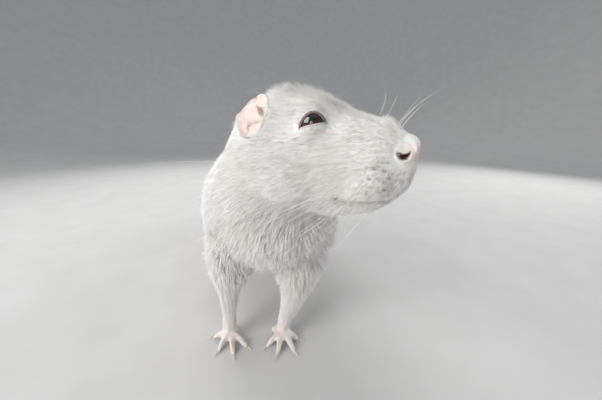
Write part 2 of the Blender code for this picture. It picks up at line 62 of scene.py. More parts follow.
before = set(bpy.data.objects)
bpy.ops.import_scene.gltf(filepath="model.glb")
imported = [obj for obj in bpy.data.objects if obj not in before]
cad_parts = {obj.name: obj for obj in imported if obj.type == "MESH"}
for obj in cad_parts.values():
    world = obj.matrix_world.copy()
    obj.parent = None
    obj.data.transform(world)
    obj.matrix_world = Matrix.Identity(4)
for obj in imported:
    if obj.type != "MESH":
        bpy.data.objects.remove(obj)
CAD_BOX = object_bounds()

MM = 0.001
SEED = 20
MOST_TRIANGLES = 190000  # of one piece of the coat
WELD = 1e-6  # metres: corners of the frame's meshes nearer than this are one


# ---------------------------------------------------------------- places from the frame
def middle(node):
    """The middle of a node's box, in millimetres."""
    low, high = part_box(node)
    return np.array((low + high) / 2) / MM


def unit(vectors):
    """Each vector divided by its own length."""
    vectors = np.asarray(vectors, float)
    return vectors / np.maximum(np.linalg.norm(vectors, axis=-1, keepdims=True), 1e-12)


def square_to(vectors, axis):
    """The vectors less their part along a unit axis: v - axis * (v . axis)."""
    return vectors - axis * (vectors * axis).sum(-1, keepdims=True)


def once_round(count):
    """So many angles, evenly once round, in radians."""
    return np.linspace(0, 2 * math.pi, count, endpoint=False)


def way_at(turn, lift):
    """The way that is turned from +Y towards +X and lifted off the level, in radians."""
    level = math.cos(lift)
    return np.array((math.sin(turn) * level, math.cos(turn) * level, math.sin(lift)))


def eased(value, low, high):
    """0 below low, 1 above high, and 3t^2 - 2t^3 between them."""
    t = np.clip((np.asarray(value, float) - low) / (high - low), 0.0, 1.0)
    return t * t * (3 - 2 * t)


def bell(value, centre, width, power=2):
    """1 at the centre and 0 away from it: exp(-((value - centre) / width)^power)."""
    return np.exp(-(((value - centre) / width) ** power))


def blend(none, full, share):
    """none * (1 - share) + full * share."""
    return none * (1 - share) + full * share


HEAD_TURN = math.radians(49.0)  # to the rat's left of straight ahead
HEAD_LIFT = math.radians(3.0)
HEAD_ROLL = math.radians(-6.0)
FORWARD = way_at(HEAD_TURN, HEAD_LIFT) * (1, -1, 1)
LEVEL_LEFT = unit(np.cross((0, 0, 1), FORWARD))
LEFT = LEVEL_LEFT * math.cos(HEAD_ROLL) + np.cross(FORWARD, LEVEL_LEFT) * math.sin(HEAD_ROLL)
UP = np.cross(FORWARD, LEFT)
HEAD_AXES = np.stack([FORWARD, LEFT, UP])

EYE = (24.3, 8.4, 5.2)  # the middle of the left eye, in head coordinates
EYE_RADIUS = 3.7
NOSE_TIP = (middle("eye_left") + middle("eye_right")) / 2 + FORWARD * EYE[0] - UP * EYE[2]


def in_head(back, left, up):
    """Points of the head: the nose tip, less forward times back, plus left and up."""
    back, left, up = (np.asarray(part)[..., None] for part in (back, left, up))
    return NOSE_TIP - FORWARD * back + LEFT * left + UP * up


def on_side(place, side):
    """The point of the head at a place of its left side (side 1), or its mirror image (-1)."""
    return in_head(place[0], side * place[1], place[2])


def head_places(points):
    """Head coordinates of points: their dot products with the head's three axes."""
    away = points - NOSE_TIP
    return np.stack([-away @ FORWARD, away @ LEFT, away @ UP], -1)


# ---------------------------------------------------------------- meshes from arrays
def linked(name, data):
    """A new object of this data, put in the scene."""
    made = bpy.data.objects.new(name, data)
    bpy.context.scene.collection.objects.link(made)
    return made


def new_piece(name, points, triangles, uv=None, colours=None, smooth=True):
    """A mesh object from points in millimetres and triangles. uv holds one place of the map
    OFBake for each corner of each triangle, and colours holds named four-number attributes
    of points."""
    mesh = bpy.data.meshes.new(name)
    mesh.vertices.add(len(points))
    mesh.vertices.foreach_set("co", (np.asarray(points) * MM).astype(np.float32).ravel())
    mesh.loops.add(triangles.size)
    mesh.loops.foreach_set("vertex_index", triangles.astype(np.int32).ravel())
    mesh.polygons.add(len(triangles))
    mesh.polygons.foreach_set("loop_start", np.arange(0, triangles.size, 3, dtype=np.int32))
    mesh.polygons.foreach_set("use_smooth", np.full(len(triangles), smooth))
    if uv is not None:
        layer = mesh.uv_layers.new(name="OFBake")
        layer.uv.foreach_set("vector", uv.astype(np.float32).ravel())
    for key, values in (colours or {}).items():
        layer = mesh.attributes.new(key, "FLOAT_COLOR", "POINT")
        layer.data.foreach_set("color", values.astype(np.float32).ravel())
    mesh.update(calc_edges=True)
    mesh.validate()
    return linked(name, mesh)


def grid_triangles(rows, columns):
    """Triangles of a grid of points, row by row, with the last column joined to the first."""
    row = np.arange(rows - 1)[:, None]
    column = np.arange(columns)[None]
    following = (column + 1) % columns
    a, b = row * columns + column, row * columns + following
    c, d = a + columns, b + columns
    return np.concatenate(
        [np.stack([a, b, d], -1).reshape(-1, 3), np.stack([a, d, c], -1).reshape(-1, 3)]
    )


def corner_points(points, triangles):
    """The first, second and third corners of the triangles."""
    return (points[triangles[:, k]] for k in range(3))


def facing_out(points, triangles):
    """The triangles of a closed mesh, all turned over if its volume comes out negative."""
    a, b, c = corner_points(points, triangles)
    return triangles if (a * np.cross(b, c)).sum() > 0 else triangles[:, ::-1]


def mesh_arrays(mesh):
    """Points in millimetres and triangles of a mesh."""
    points = np.empty(len(mesh.vertices) * 3, np.float32)
    mesh.vertices.foreach_get("co", points)
    mesh.calc_loop_triangles()
    triangles = np.empty(len(mesh.loop_triangles) * 3, np.int32)
    mesh.loop_triangles.foreach_get("vertices", triangles)
    return points.reshape(-1, 3).astype(float) / MM, triangles.reshape(-1, 3)


def baked(obj):
    """The object with its modifiers made part of its mesh."""
    graph = bpy.context.evaluated_depsgraph_get()
    mesh = bpy.data.meshes.new_from_object(obj.evaluated_get(graph))
    obj.modifiers.clear()
    obj.data = mesh
    return obj


def select(pieces):
    """Selects these objects alone, the first of them as the active one."""
    bpy.ops.object.select_all(action="DESELECT")
    for piece in pieces:
        piece.select_set(True)
    bpy.context.view_layer.objects.active = pieces[0]


def point_normals(points, triangles):
    """The sum of the normals of the triangles round each point, by area, made unit."""
    a, b, c = corner_points(points, triangles)
    faces = np.cross(b - a, c - a)
    total = np.zeros_like(points)
    for axis in range(3):
        for corner in range(3):
            total[:, axis] += np.bincount(triangles[:, corner], faces[:, axis], len(points))
    return unit(total)


def edge_pairs(triangles):
    """The two ends of each triangle's three edges, the lower number first."""
    pairs = [triangles[:, [k, (k + 1) % 3]] for k in range(3)]
    return np.sort(np.concatenate(pairs), axis=1)


class Neighbours:
    """Averages over the points joined to each point by an edge."""

    def __init__(self, triangles, count):
        pairs = np.unique(edge_pairs(triangles), axis=0)
        self.here = np.concatenate([pairs[:, 0], pairs[:, 1]])
        self.there = np.concatenate([pairs[:, 1], pairs[:, 0]])
        self.count = count
        self.degree = np.maximum(np.bincount(self.here, minlength=count), 1)

    def mean(self, values):
        """The mean of the neighbours' values, column by column."""
        columns = [
            np.bincount(self.here, values[self.there, k], self.count) / self.degree
            for k in range(values.shape[1])
        ]
        return np.stack(columns, -1)

    def smooth(self, values, rounds, share=0.5, where=1.0):
        """values moved share * where of the way to the neighbours' mean, rounds times."""
        for _ in range(rounds):
            values = values + (self.mean(values) - values) * share * where
        return values


# ---------------------------------------------------------------- the coat, node by node
# For each node of flesh: the coat's depth, its length, the width of a tuft, its lift in
# degrees, tufts to a square millimetre, how bare it is, and which way the coat runs
BACKWARD = (0.0, 0.8, -0.6)
BARE_HALF = 0.5  # barer than this counts as a bare part: feet, tail and nose
COAT = {
    "nose": (0.1, 0.8, 0.09, 24, 16.0, 1.0, None),
    "head": (0.8, 3.8, 0.17, 17, 15.0, 0.0, None),
    "lower_jaw": (0.7, 3.2, 0.16, 22, 14.0, 0.0, None),
    "ear": (0.0, 0.5, 0.08, 10, 1.0, 1.0, None),
    "neck": (1.9, 7.2, 0.19, 14, 8.5, 0.0, BACKWARD),
    "chest": (2.2, 8.4, 0.21, 15, 8.0, 0.0, (0.0, 0.55, -0.84)),
    "belly": (2.2, 8.6, 0.38, 14, 2.1, 0.0, BACKWARD),
    "rump": (2.2, 8.6, 0.38, 14, 2.1, 0.0, (0.0, 0.75, -0.65)),
    "haunch": (2.0, 7.6, 0.36, 14, 2.3, 0.0, (0.0, 0.6, -0.8)),
    "foreleg": (0.8, 3.4, 0.2, 15, 9.0, 0.0, (0.0, 0.3, -1.0)),
    "forefoot": (0.15, 1.4, 0.1, 10, 6.0, 0.55, (0.0, -1.0, -0.2)),
    "hind_foot": (0.15, 1.5, 0.1, 10, 4.0, 0.6, (0.0, -1.0, -0.2)),
    "tail_1": (0.3, 1.8, 0.12, 8, 1.6, 0.9, (0.1, 0.9, -0.5)),
    "tail_2": (0.1, 1.2, 0.08, 8, 1.2, 1.0, (0.4, 0.9, 0.0)),
    "tail_3": (0.08, 1.0, 0.07, 8, 1.0, 1.0, (0.5, 0.85, 0.0)),
    "tail_4": (0.05, 0.8, 0.05, 8, 1.0, 1.0, (-0.1, 1.0, 0.0)),
}
DEPTH, LENGTH, WIDTH, LIFT, DENSITY, BARE = range(6)
COAT_VALUES = np.array([row[:6] for row in COAT.values()], float)
COAT_WAYS = np.array([row[6] or BACKWARD for row in COAT.values()])


def coat_key(node):
    """The row of COAT that a node belongs to, or None for eyes and claws."""
    for key in COAT:
        if node == key or node.rsplit("_", 1)[0] == key:
            return key
    return None


FLESH = sorted(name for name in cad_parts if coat_key(name))


def nearest_rows(points):
    """For each point, the place in COAT of the node whose own point lies nearest."""
    keys = list(COAT)
    cad, row = [], []
    for name in FLESH:
        found, _ = mesh_arrays(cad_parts[name].data)
        found = np.unique(found.round(4), axis=0)
        cad.append(found)
        row.append(np.full(len(found), keys.index(coat_key(name))))
    cad, row = np.concatenate(cad), np.concatenate(row)
    square = (cad**2).sum(1)
    nearest = np.empty(len(points), int)
    for start in range(0, len(points), 4000):
        block = points[start : start + 4000]
        nearest[start : start + 4000] = (square - 2 * block @ cad.T).argmin(1)
    return row[nearest]


def flow_from_nose(points):
    """On the head the coat runs away from a place in front of the nose, and down behind."""
    away = unit(points - (NOSE_TIP + FORWARD * 4.0))
    return unit(away - np.array((0.0, 0.0, 0.12)))


# ---------------------------------------------------------------- the skin
EAR_PLUG = (41.0, 9.4, 3.9)  # a mound that closes the head where an ear stands
EAR_PLUG_RADII = (5.2, 3.0, 3.2)
SWELL = 0.3  # of each node, to close the cuts
SOCKET_GAP = 0.05  # round the ball of an eye


def ball(centre, radii):
    """An ellipsoid: centre + radii * (sin a cos b, sin a sin b, cos a) along the head's axes."""
    rows, columns = 24, 40
    a = np.linspace(0.001, math.pi - 0.001, rows)[:, None]
    b = once_round(columns)[None]
    unit_ball = np.stack([np.sin(a) * np.cos(b), np.sin(a) * np.sin(b), np.cos(a) + 0 * b], -1)
    points = centre + (unit_ball * radii) @ HEAD_AXES
    return points.reshape(-1, 3), grid_triangles(rows, columns)[:, ::-1]


def raw_skin(grid, triangles):
    """Copies of the nodes of flesh, each a little swollen to close the cuts, merged into
    one closed skin by a voxel remesh and thinned where it is flat."""
    copies = []
    for name in FLESH:
        if coat_key(name) == "ear":
            continue
        copy = linked("copy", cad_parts[name].data.copy())
        copy.modifiers.new("weld", "WELD").merge_threshold = WELD
        swell = copy.modifiers.new("swell", "DISPLACE")
        swell.mid_level = 0.0
        swell.strength = SWELL * MM
        copies.append(baked(copy))
    for side in (-1, 1):
        copies.append(new_piece("plug", *ball(on_side(EAR_PLUG, side), EAR_PLUG_RADII)))
        copies.append(new_piece("socket", *ball(eye_middle(side), EYE_RADIUS + SOCKET_GAP)))
    select(copies)
    bpy.ops.object.join()
    whole = copies[0]
    whole.data.materials.clear()
    remesh = whole.modifiers.new("merge", "REMESH")
    remesh.mode = "VOXEL"
    remesh.voxel_size = grid * MM
    baked(whole)
    whole.data.calc_loop_triangles()
    thin = whole.modifiers.new("thin", "DECIMATE")
    thin.ratio = min(1.0, triangles / len(whole.data.loop_triangles))
    baked(whole)
    found = mesh_arrays(whole.data)
    bpy.data.objects.remove(whole)
    return found


def finer(points, triangles, chosen):
    """Splits the edges of the chosen triangles in half: a chosen triangle becomes four,
    and its neighbours become two or three, so that no gap opens."""
    edges, place = np.unique(edge_pairs(triangles), axis=0, return_inverse=True)
    place = place.reshape(3, -1).T
    split = np.zeros(len(edges), bool)
    split[place[chosen].ravel()] = True
    number = np.full(len(edges), -1)
    number[split] = len(points) + np.arange(split.sum())
    halves = points[edges[split]].mean(1)
    middle_of = number[place]
    cuts = (middle_of >= 0).sum(1)
    found = [triangles[cuts == 0]]
    a, b, c = triangles[cuts == 3].T
    ab, bc, ca = middle_of[cuts == 3].T
    found += [np.stack(t, -1) for t in ((a, ab, ca), (ab, b, bc), (ca, bc, c), (ab, bc, ca))]
    for turn in range(3):
        order = [turn, (turn + 1) % 3, (turn + 2) % 3]
        mids = middle_of[:, order]
        one = (cuts == 1) & (mids[:, 0] >= 0)
        a, b, c = triangles[one][:, order].T
        ab = mids[one, 0]
        found += [np.stack(t, -1) for t in ((a, ab, c), (ab, b, c))]
        two = (cuts == 2) & (mids[:, 2] < 0)
        a, b, c = triangles[two][:, order].T
        ab, bc = mids[two, 0], mids[two, 1]
        found += [np.stack(t, -1) for t in ((a, ab, c), (ab, bc, c), (ab, b, bc))]
    return np.concatenate([points, halves]), np.concatenate(found)


def curve_through(rows, count=80):
    """A smooth curve through all rows (Catmull-Rom), count points from end to end."""
    rows = np.asarray(rows, float)
    padded = np.vstack([2 * rows[0] - rows[1], rows, 2 * rows[-1] - rows[-2]])
    place = np.linspace(0, len(rows) - 1.000001, count)
    k = place.astype(int)
    t = (place - k)[:, None]
    before, start, end, after = (padded[k + offset] for offset in range(4))
    return 0.5 * (
        2 * start
        + (end - before) * t
        + (2 * before - 5 * start + 4 * end - after) * t**2
        + (3 * start - before - 3 * end + after) * t**3
    )


def distance_to(points, line):
    """The distance from each point to the nearest point of a line, and that one's number."""
    square = ((points[:, None] - line[None]) ** 2).sum(-1)
    return np.sqrt(square.min(1)), square.argmin(1)


# Lines of the face, in head coordinates of the left side
NOSE_WING = ((4.8, 4.4, -0.4), (5.0, 5.2, -2.2), (4.4, 4.9, -4.4), (2.8, 3.2, -5.6))
MOUTH = (
    (4.6, 0.0, -13.3),
    (5.7, 2.4, -13.9),
    (9.3, 5.1, -14.3),
    (14.5, 6.5, -14.1),
    (17.7, 7.3, -13.6),
)
PHILTRUM = ((0.4, 0.0, -3.6), (1.3, 0.0, -6.4), (2.6, 0.0, -9.4), (4.6, 0.0, -13.3))
NOSE_TOP = ((1.4, 0.0, 1.3), (3.0, 0.9, 2.8), (5.0, 1.0, 4.0), (7.0, 1.0, 4.9))
# What is raised or sunk along them: points, how far they are shifted, height, width. The
# last three are the lips on either side of the mouth, and the nose's top
RELIEF = (
    (NOSE_WING, (0.0, 0.0, 0.0), -0.35, 0.7),
    (MOUTH, (0.0, 0.0, 0.0), -1.2, 0.5),
    (PHILTRUM, (0.0, 0.0, 0.0), -0.65, 0.5),
    (MOUTH, (0.0, -0.3, -1.3), 0.3, 0.8),
    (MOUTH, (0.0, 0.5, 1.4), 0.4, 1.0),
    (NOSE_TOP, (0.0, 0.0, 0.0), 1.0, 2.0),
)

NOSTRIL = np.array((2.85, 3.85, -2.2))  # its middle
NOSTRIL_RADII = (1.4, 1.75)  # back and up
NOSTRIL_DEPTH = 1.9
NOSTRIL_RIM = 0.32
FOLLICLE = (0.46, 0.3)  # half its length along the coat, and half its height
FOLLICLE_DEPTH = 0.25
PARTING = (1.0, 0.5)  # half the length and height of the gap in the coat round a follicle
# Rows of whiskers on a pad, from the top: how many there are, and how high the row starts
PAD_ROWS = ((5, -4.6), (5, -6.2), (6, -7.9), (6, -9.6), (5, -11.2))


def folded(places):
    """Head coordinates with the right side folded onto the left."""
    return np.stack([places[:, 0], np.abs(places[:, 1]), places[:, 2]], -1)


def whisker_roots():
    """Head coordinates of the whiskers' roots on the left pad, in uneven rows that run back
    and slightly down from the nose's wing."""
    rng = np.random.default_rng(SEED + 3)
    found = []
    for row, (count, height) in enumerate(PAD_ROWS):
        for place in range(count):
            back = 5.6 + place * 2.15 + (row % 2) * 0.7 + rng.normal(0, 0.4)
            found.append((back, 0.0, height - place * 0.16 + rng.normal(0, 0.3)))
    return np.array(found)


def follicles(places, size=FOLLICLE, shift=0.0):
    """1 at the root of each whisker of the pads and 0 away from it, as seen from the side.
    The front ones are the strongest. shift moves them all back."""
    roots = whisker_roots() + np.array((shift, 0.0, 0.0))
    near, which = distance_to(places[:, [0, 2]] / size, roots[:, [0, 2]] / size)
    strong = np.random.default_rng(SEED + 4).uniform(0.45, 1.0, len(roots))
    strong = strong * (0.2 + 0.8 * eased(roots[:, 0], 14, 9))
    return bell(near, 0, 1) * strong[which] * (np.abs(places[:, 1]) > 2.0)


def parting(places):
    """Where the coat is short so that the roots of the whiskers show."""
    return follicles(places, PARTING, -0.5)


def nostril(places):
    """How deep in a nostril each point lies, from 0 to 1, and how near to its lower rim.
    The opening is the lower half of an ellipse under a wing that hangs down in the middle."""
    left = folded(places)
    x, y = ((left[:, [0, 2]] - NOSTRIL[[0, 2]]) / NOSTRIL_RADII).T
    near = bell(left[:, 1], NOSTRIL[1], 2.2, 4)
    radius = np.hypot(x, y)
    wing = 0.28 - 0.4 * (1 - x**2) - y
    deep = eased(np.minimum(1 - radius, wing), -0.06, 0.24) * near
    rim = bell(radius, 1.2, 0.17) * eased(y, 0.15, -0.2) * near
    return deep, rim


def face_relief(places):
    """How far each point of the face is moved outwards: for each row of RELIEF, its height
    times exp(-(distance / width)^2). Each follicle of a whisker is a dimple, and each
    nostril a pit with a raised lower rim."""
    moved = np.zeros(len(places))
    left = folded(places)
    for rows, shift, height, width in RELIEF:
        near, _ = distance_to(left, curve_through(rows) + np.array(shift))
        moved += height * bell(near, 0, width)
    deep, rim = nostril(places)
    return moved - FOLLICLE_DEPTH * follicles(places) - NOSTRIL_DEPTH * deep + NOSTRIL_RIM * rim


def nose_leather(places):
    """1 on the bare tip of the nose and round the nostrils, and 0 where hair grows."""
    left = folded(places)
    tip = eased(left[:, 0], 3.2, 1.6) * eased(left[:, 1], 4.0, 3.0)
    tip = tip * eased(left[:, 2], -5.4, -4.2) * eased(left[:, 2], 0.7, -0.5)
    around = np.linalg.norm((left - NOSTRIL) / (1.9, 2.5, 2.2), axis=1)
    return np.maximum(tip, eased(around, 1.25, 0.9))


def painted_face_shade(places):
    """Painted shade on the face, from 0 to 1: 1 in the nostrils and at the mouth's corner, less
    along the mouth, in the follicles' dimples and on the nose's bare front, fading to 0 beside them."""
    left = folded(places)
    deep, _ = nostril(places)
    near, _ = distance_to(left, curve_through(MOUTH))
    # painted shade in the follicles' dimples and along the mouth; below, in the nostrils, on the nose's
    # bare front and at the mouth's corner
    dark = np.maximum(0.95 * follicles(places), 0.8 * bell(near, 0, 0.5))
    dark = np.maximum(dark, eased(deep, 0.1, 0.6))
    dark = np.maximum(dark, 0.12 * nose_leather(places))
    corner = np.linalg.norm((left - np.array(MOUTH[-1])) / (1.1, 2.0, 0.75), axis=1)
    return np.maximum(dark, bell(corner, 0, 1))


def painted_hair_shade(places):
    """How much shade is painted on the hair at the mouth's edge and round the follicles, and as a
    mottled painted shadow on the lower front of the pads."""
    near, _ = distance_to(folded(places), curve_through(MOUTH))
    found = np.maximum(0.9 * bell(near, 0, 0.9), follicles(places))
    # a mottled painted shadow on the lower front of the muzzle
    low_front = eased(places[:, 0], 13, 6) * eased(places[:, 2], -3, -8) * (np.abs(places[:, 1]) > 1)
    painted_shadow_mottle = np.clip(0.5 + 0.9 * waves(places, 1.5, SEED + 60), 0, 1)
    return np.maximum(found, 0.62 * low_front * painted_shadow_mottle)


def muzzle_part(places, back, out):
    """Whether each place lies in the front of the head, by how far back and out it goes."""
    return (places[:, 0] < back) & (np.abs(places[:, 1]) < out) & (np.abs(places[:, 2]) < 24)


def face_values(points, function):
    """A function of head coordinates at the points of the face, and 0 elsewhere."""
    places = head_places(points)
    face = np.flatnonzero(muzzle_part(places, 24, 14))
    found = np.zeros(len(points))
    for block in np.array_split(face, max(1, len(face) // 20000)):
        found[block] = function(places[block])
    return found


KNEE = (28.0, 196.0, 14.0)  # of the left side, as the body is measured
KNEE_REACH = 15.0
WITHERS = 128.0  # how far back they lie, as the body is measured
WITHERS_REACH = 30.0
FAIR_ROUNDS = 34  # of taking the remesh's steps out without shrinking the body
SOFT_ROUNDS = 8  # of easing the whole body
KNEE_ROUNDS = 130  # of rounding off the knees and withers
LID_ROUNDS = 24  # of rounding off the lids' outer edge
FINE_PARTS = (27.0, 13.0)  # how far back the face is made finer, and made finer again
CROWN_LINE = (3.2, 0.37)  # the head's upper outline: its height at the nose, and its slope
ELBOW, ELBOW_REACH = 36.0, 11.0  # its height over the floor
EAR_HOLLOW_DEPTH = 1.5

# Column of COAT, its value at the wrist and at the top of the chest
LEG_COAT = ((DEPTH, 0.5, 2.1), (LENGTH, 2.4, 8.6), (WIDTH, 0.15, 0.22), (DENSITY, 13.0, 8.0))


def in_rows(row, *keys):
    """Whether each row of COAT is one of those with these names."""
    return np.isin(row, [list(COAT).index(key) for key in keys])


def fair_body(settings):
    """The flesh as one mesh, without the steps that the remesh leaves, and finer on the face.
    The bare parts, feet and tail, are left as they are."""
    points, triangles = raw_skin(settings.grid, settings.triangles)
    net = Neighbours(triangles, len(points))
    bare = (COAT_VALUES[nearest_rows(points)][:, [BARE]] > BARE_HALF).astype(float)
    slender = np.clip(net.smooth(bare, 6) * 1.3, 0, 1)
    tip = eased(head_places(points)[:, [0]], 7, 1) * (np.abs(points - NOSE_TIP).max(1) < 12)[:, None]
    share = np.maximum(1 - slender, 0.75 * tip)
    for _ in range(FAIR_ROUNDS):
        points = net.smooth(points, 1, 0.6, share)
        points = net.smooth(points, 1, -0.62, share)
    for reach in FINE_PARTS:
        near = muzzle_part(head_places(points), reach, 20)
        points, triangles = finer(points, triangles, near[triangles].all(1))
    return points, triangles


def rounded(points, values, on_head, net):
    """The points eased towards their neighbours, less on feet and face than on the trunk, and
    most at the knees and where the neck rises out of the shoulders."""
    slender = net.smooth((values[:, [BARE]] > BARE_HALF).astype(float), 8)
    face = eased(head_places(points)[:, 0], 34, 10)[:, None] * on_head[:, None]
    softness = 0.55 * (1 - 0.82 * np.clip(slender, 0, 1)) * (1 - 0.55 * face)
    points = net.smooth(points, SOFT_ROUNDS, softness)
    body = points - body_shift()
    knees = np.linalg.norm(np.abs(body) - KNEE, axis=1)
    soft = eased(knees, KNEE_REACH, 0.4 * KNEE_REACH)
    withers = np.abs(body[:, 1] - WITHERS) / WITHERS_REACH
    soft = np.maximum(soft, eased(withers, 1.0, 0.4) * eased(body[:, 2], 40, 60))
    return net.smooth(points, KNEE_ROUNDS, 0.6, soft[:, None])


def grade_coat(values, points, normals, row, on_head, net):
    """Grades the COAT values over the body, in place."""
    places = head_places(points)
    values[:, BARE] = np.clip(values[:, BARE], 0, 1)

    # the coat is thinner and shorter towards the nose
    muzzle = np.where(on_head, eased(places[:, 0], 3, 34), 1.0)
    values[:, DEPTH] *= 0.35 + 0.65 * muzzle
    values[:, LENGTH] *= 0.42 + 0.58 * muzzle
    values[:, WIDTH] *= 0.7 + 0.3 * muzzle

    # it stands up along the top of the head, most of all between the ears
    top = places[:, 2] - (CROWN_LINE[0] + CROWN_LINE[1] * places[:, 0])
    ridge = on_head * eased(top, -2.5, 0.0)
    crown = ridge * eased(places[:, 0], 17, 28)
    values[:, LENGTH] *= 1 + 0.35 * ridge + 0.3 * crown
    values[:, LIFT] += 16 * ridge + 14 * crown

    # it hangs loose behind the chin and down the chest
    throat = eased(places[:, 0], 13, 20) * eased(places[:, 2], -11, -16) * eased(places[:, 0], 60, 40)
    values[:, LENGTH] *= 1 + 0.3 * throat
    values[:, LIFT] += 15 * throat + 4 * (values[:, LENGTH] > 5) * (values[:, WIDTH] < 0.3)

    # only the nose's front and the rims of the nostrils are bare
    tip = face_values(points, nose_leather)
    values[:, BARE] = np.where(on_head, np.minimum(values[:, BARE], tip), values[:, BARE])
    values[:, DENSITY] *= 1 - tip * on_head

    # it grows shorter and finer down the chest and the forelegs
    legs = net.smooth(in_rows(row, "chest", "foreleg")[:, None].astype(float), 20, 0.7)
    high = eased(points[:, [2]], 9, 44)
    for column, low_value, high_value in LEG_COAT:
        graded = low_value + (high_value - low_value) * high
        values[:, [column]] = blend(values[:, [column]], graded, legs)
    elbow = legs[:, 0] * bell(points[:, 2], ELBOW, ELBOW_REACH)
    inner = elbow * np.clip(-np.sign(points[:, 0]) * normals[:, 0], 0, 1)
    values[:, LIFT] += 16 * elbow + 19 * inner
    values[:, LENGTH] *= 1 + 0.3 * inner


def skin_points(settings):
    """The skin's points and triangles, its COAT values at each point, and the way of the
    coat there. The skin lies under the coat's depth, with a hollow under each ear, the
    face's relief and the lids."""
    points, triangles = fair_body(settings)
    net = Neighbours(triangles, len(points))
    row = nearest_rows(points)
    on_head = in_rows(row, "nose", "head", "lower_jaw", "ear")
    values = COAT_VALUES[row]
    directions = np.where(on_head[:, None], flow_from_nose(points), unit(COAT_WAYS[row]))
    points = rounded(points, values, on_head, net)
    values = net.smooth(values, 26, 0.7)
    directions = unit(net.smooth(directions, 40, 0.7))
    normals = unit(net.smooth(point_normals(points, triangles), 4))
    grade_coat(values, points, normals, row, on_head, net)
    points = points - normals * values[:, [DEPTH]]
    hollow = ear_hollow(points) * on_head
    points = points - normals * (EAR_HOLLOW_DEPTH * hollow)[:, None]
    values[:, DENSITY] *= 1 - np.clip(1.6 * hollow, 0, 1)
    values[:, BARE] = np.maximum(values[:, BARE], np.clip(1.5 * hollow, 0, 1))
    points = points + normals * (face_values(points, face_relief) * on_head)[:, None]
    dark = face_values(points, painted_face_shade)
    values[:, DENSITY] *= 1 - np.clip(1.3 * dark, 0, 1)
    values[:, LENGTH] *= (1 - 0.45 * dark) * (1 - 0.65 * face_values(points, parting))
    for side in (-1, 1):
        points, values, directions, soft = around_eye(side, points, values, directions)
        points = net.smooth(points, LID_ROUNDS, 0.6, soft[:, None])
    points[:, 2] = np.maximum(points[:, 2], 0.0)
    return points, triangles, values, directions


# ---------------------------------------------------------------- eyelids
# The opening between the lids, in degrees round its own middle: half its width, the tilt
# and the height of the line through its corners, and how far each lid bows from that line
OPENING_HALF = 57.0
OPENING_TILT = 15.0
OPENING_LINE = -21.4
UPPER_BOW = 44.4
LOWER_BOW = -2.0
LID_HEIGHT = 0.34
LID_SIDES = 120
RIM_SIDES = 10
EYE_REACH = 7.0  # how far from the ball the skin is drawn over it
SKIN_BEHIND = 0.9  # how far behind the ball's surface the skin lies in the opening
GAZE_FORWARD, GAZE_UP = math.radians(23.0), math.radians(8.7)


def eye_middle(side):
    """The middle of an eye's ball."""
    return on_side(EYE, side)


def eye_axes(side):
    """The matrix whose rows are the way an eye's opening faces, its front corner, and up."""
    outward = (
        FORWARD * math.sin(GAZE_FORWARD) * math.cos(GAZE_UP)
        + LEFT * side * math.cos(GAZE_FORWARD) * math.cos(GAZE_UP)
        + UP * math.sin(GAZE_UP)
    )
    front = unit(square_to(FORWARD, outward))
    up = np.cross(outward, front) * side
    return np.stack([outward, front, up if up @ UP > 0 else -up])


def eye_angles(points, side):
    """Degrees to the front and up from the middle of an eye's opening, and the distance
    from the ball's middle."""
    away = points - eye_middle(side)
    distance = np.linalg.norm(away, axis=-1)
    out, front, up = np.moveaxis(away / distance[..., None] @ eye_axes(side).T, -1, 0)
    angle = np.degrees(np.arccos(np.clip(out, -1, 1)))
    flat = np.maximum(np.hypot(front, up), 1e-9)
    return front / flat * angle, up / flat * angle, distance


def lid_line(across, bow):
    """The height of a lid at this share of the opening's half width: the line through the
    corners plus bow * (1 - |across|^1.9)."""
    return OPENING_LINE + OPENING_TILT * across + bow * (1 - np.abs(across) ** 1.9)


def rim_line():
    """The edge of the opening once round, from the front corner over the top, in degrees."""
    turn = once_round(LID_SIDES)
    across = np.cos(turn)
    bow = np.where(turn < math.pi, UPPER_BOW, LOWER_BOW)
    return np.stack([OPENING_HALF * across, lid_line(across, bow)], -1)


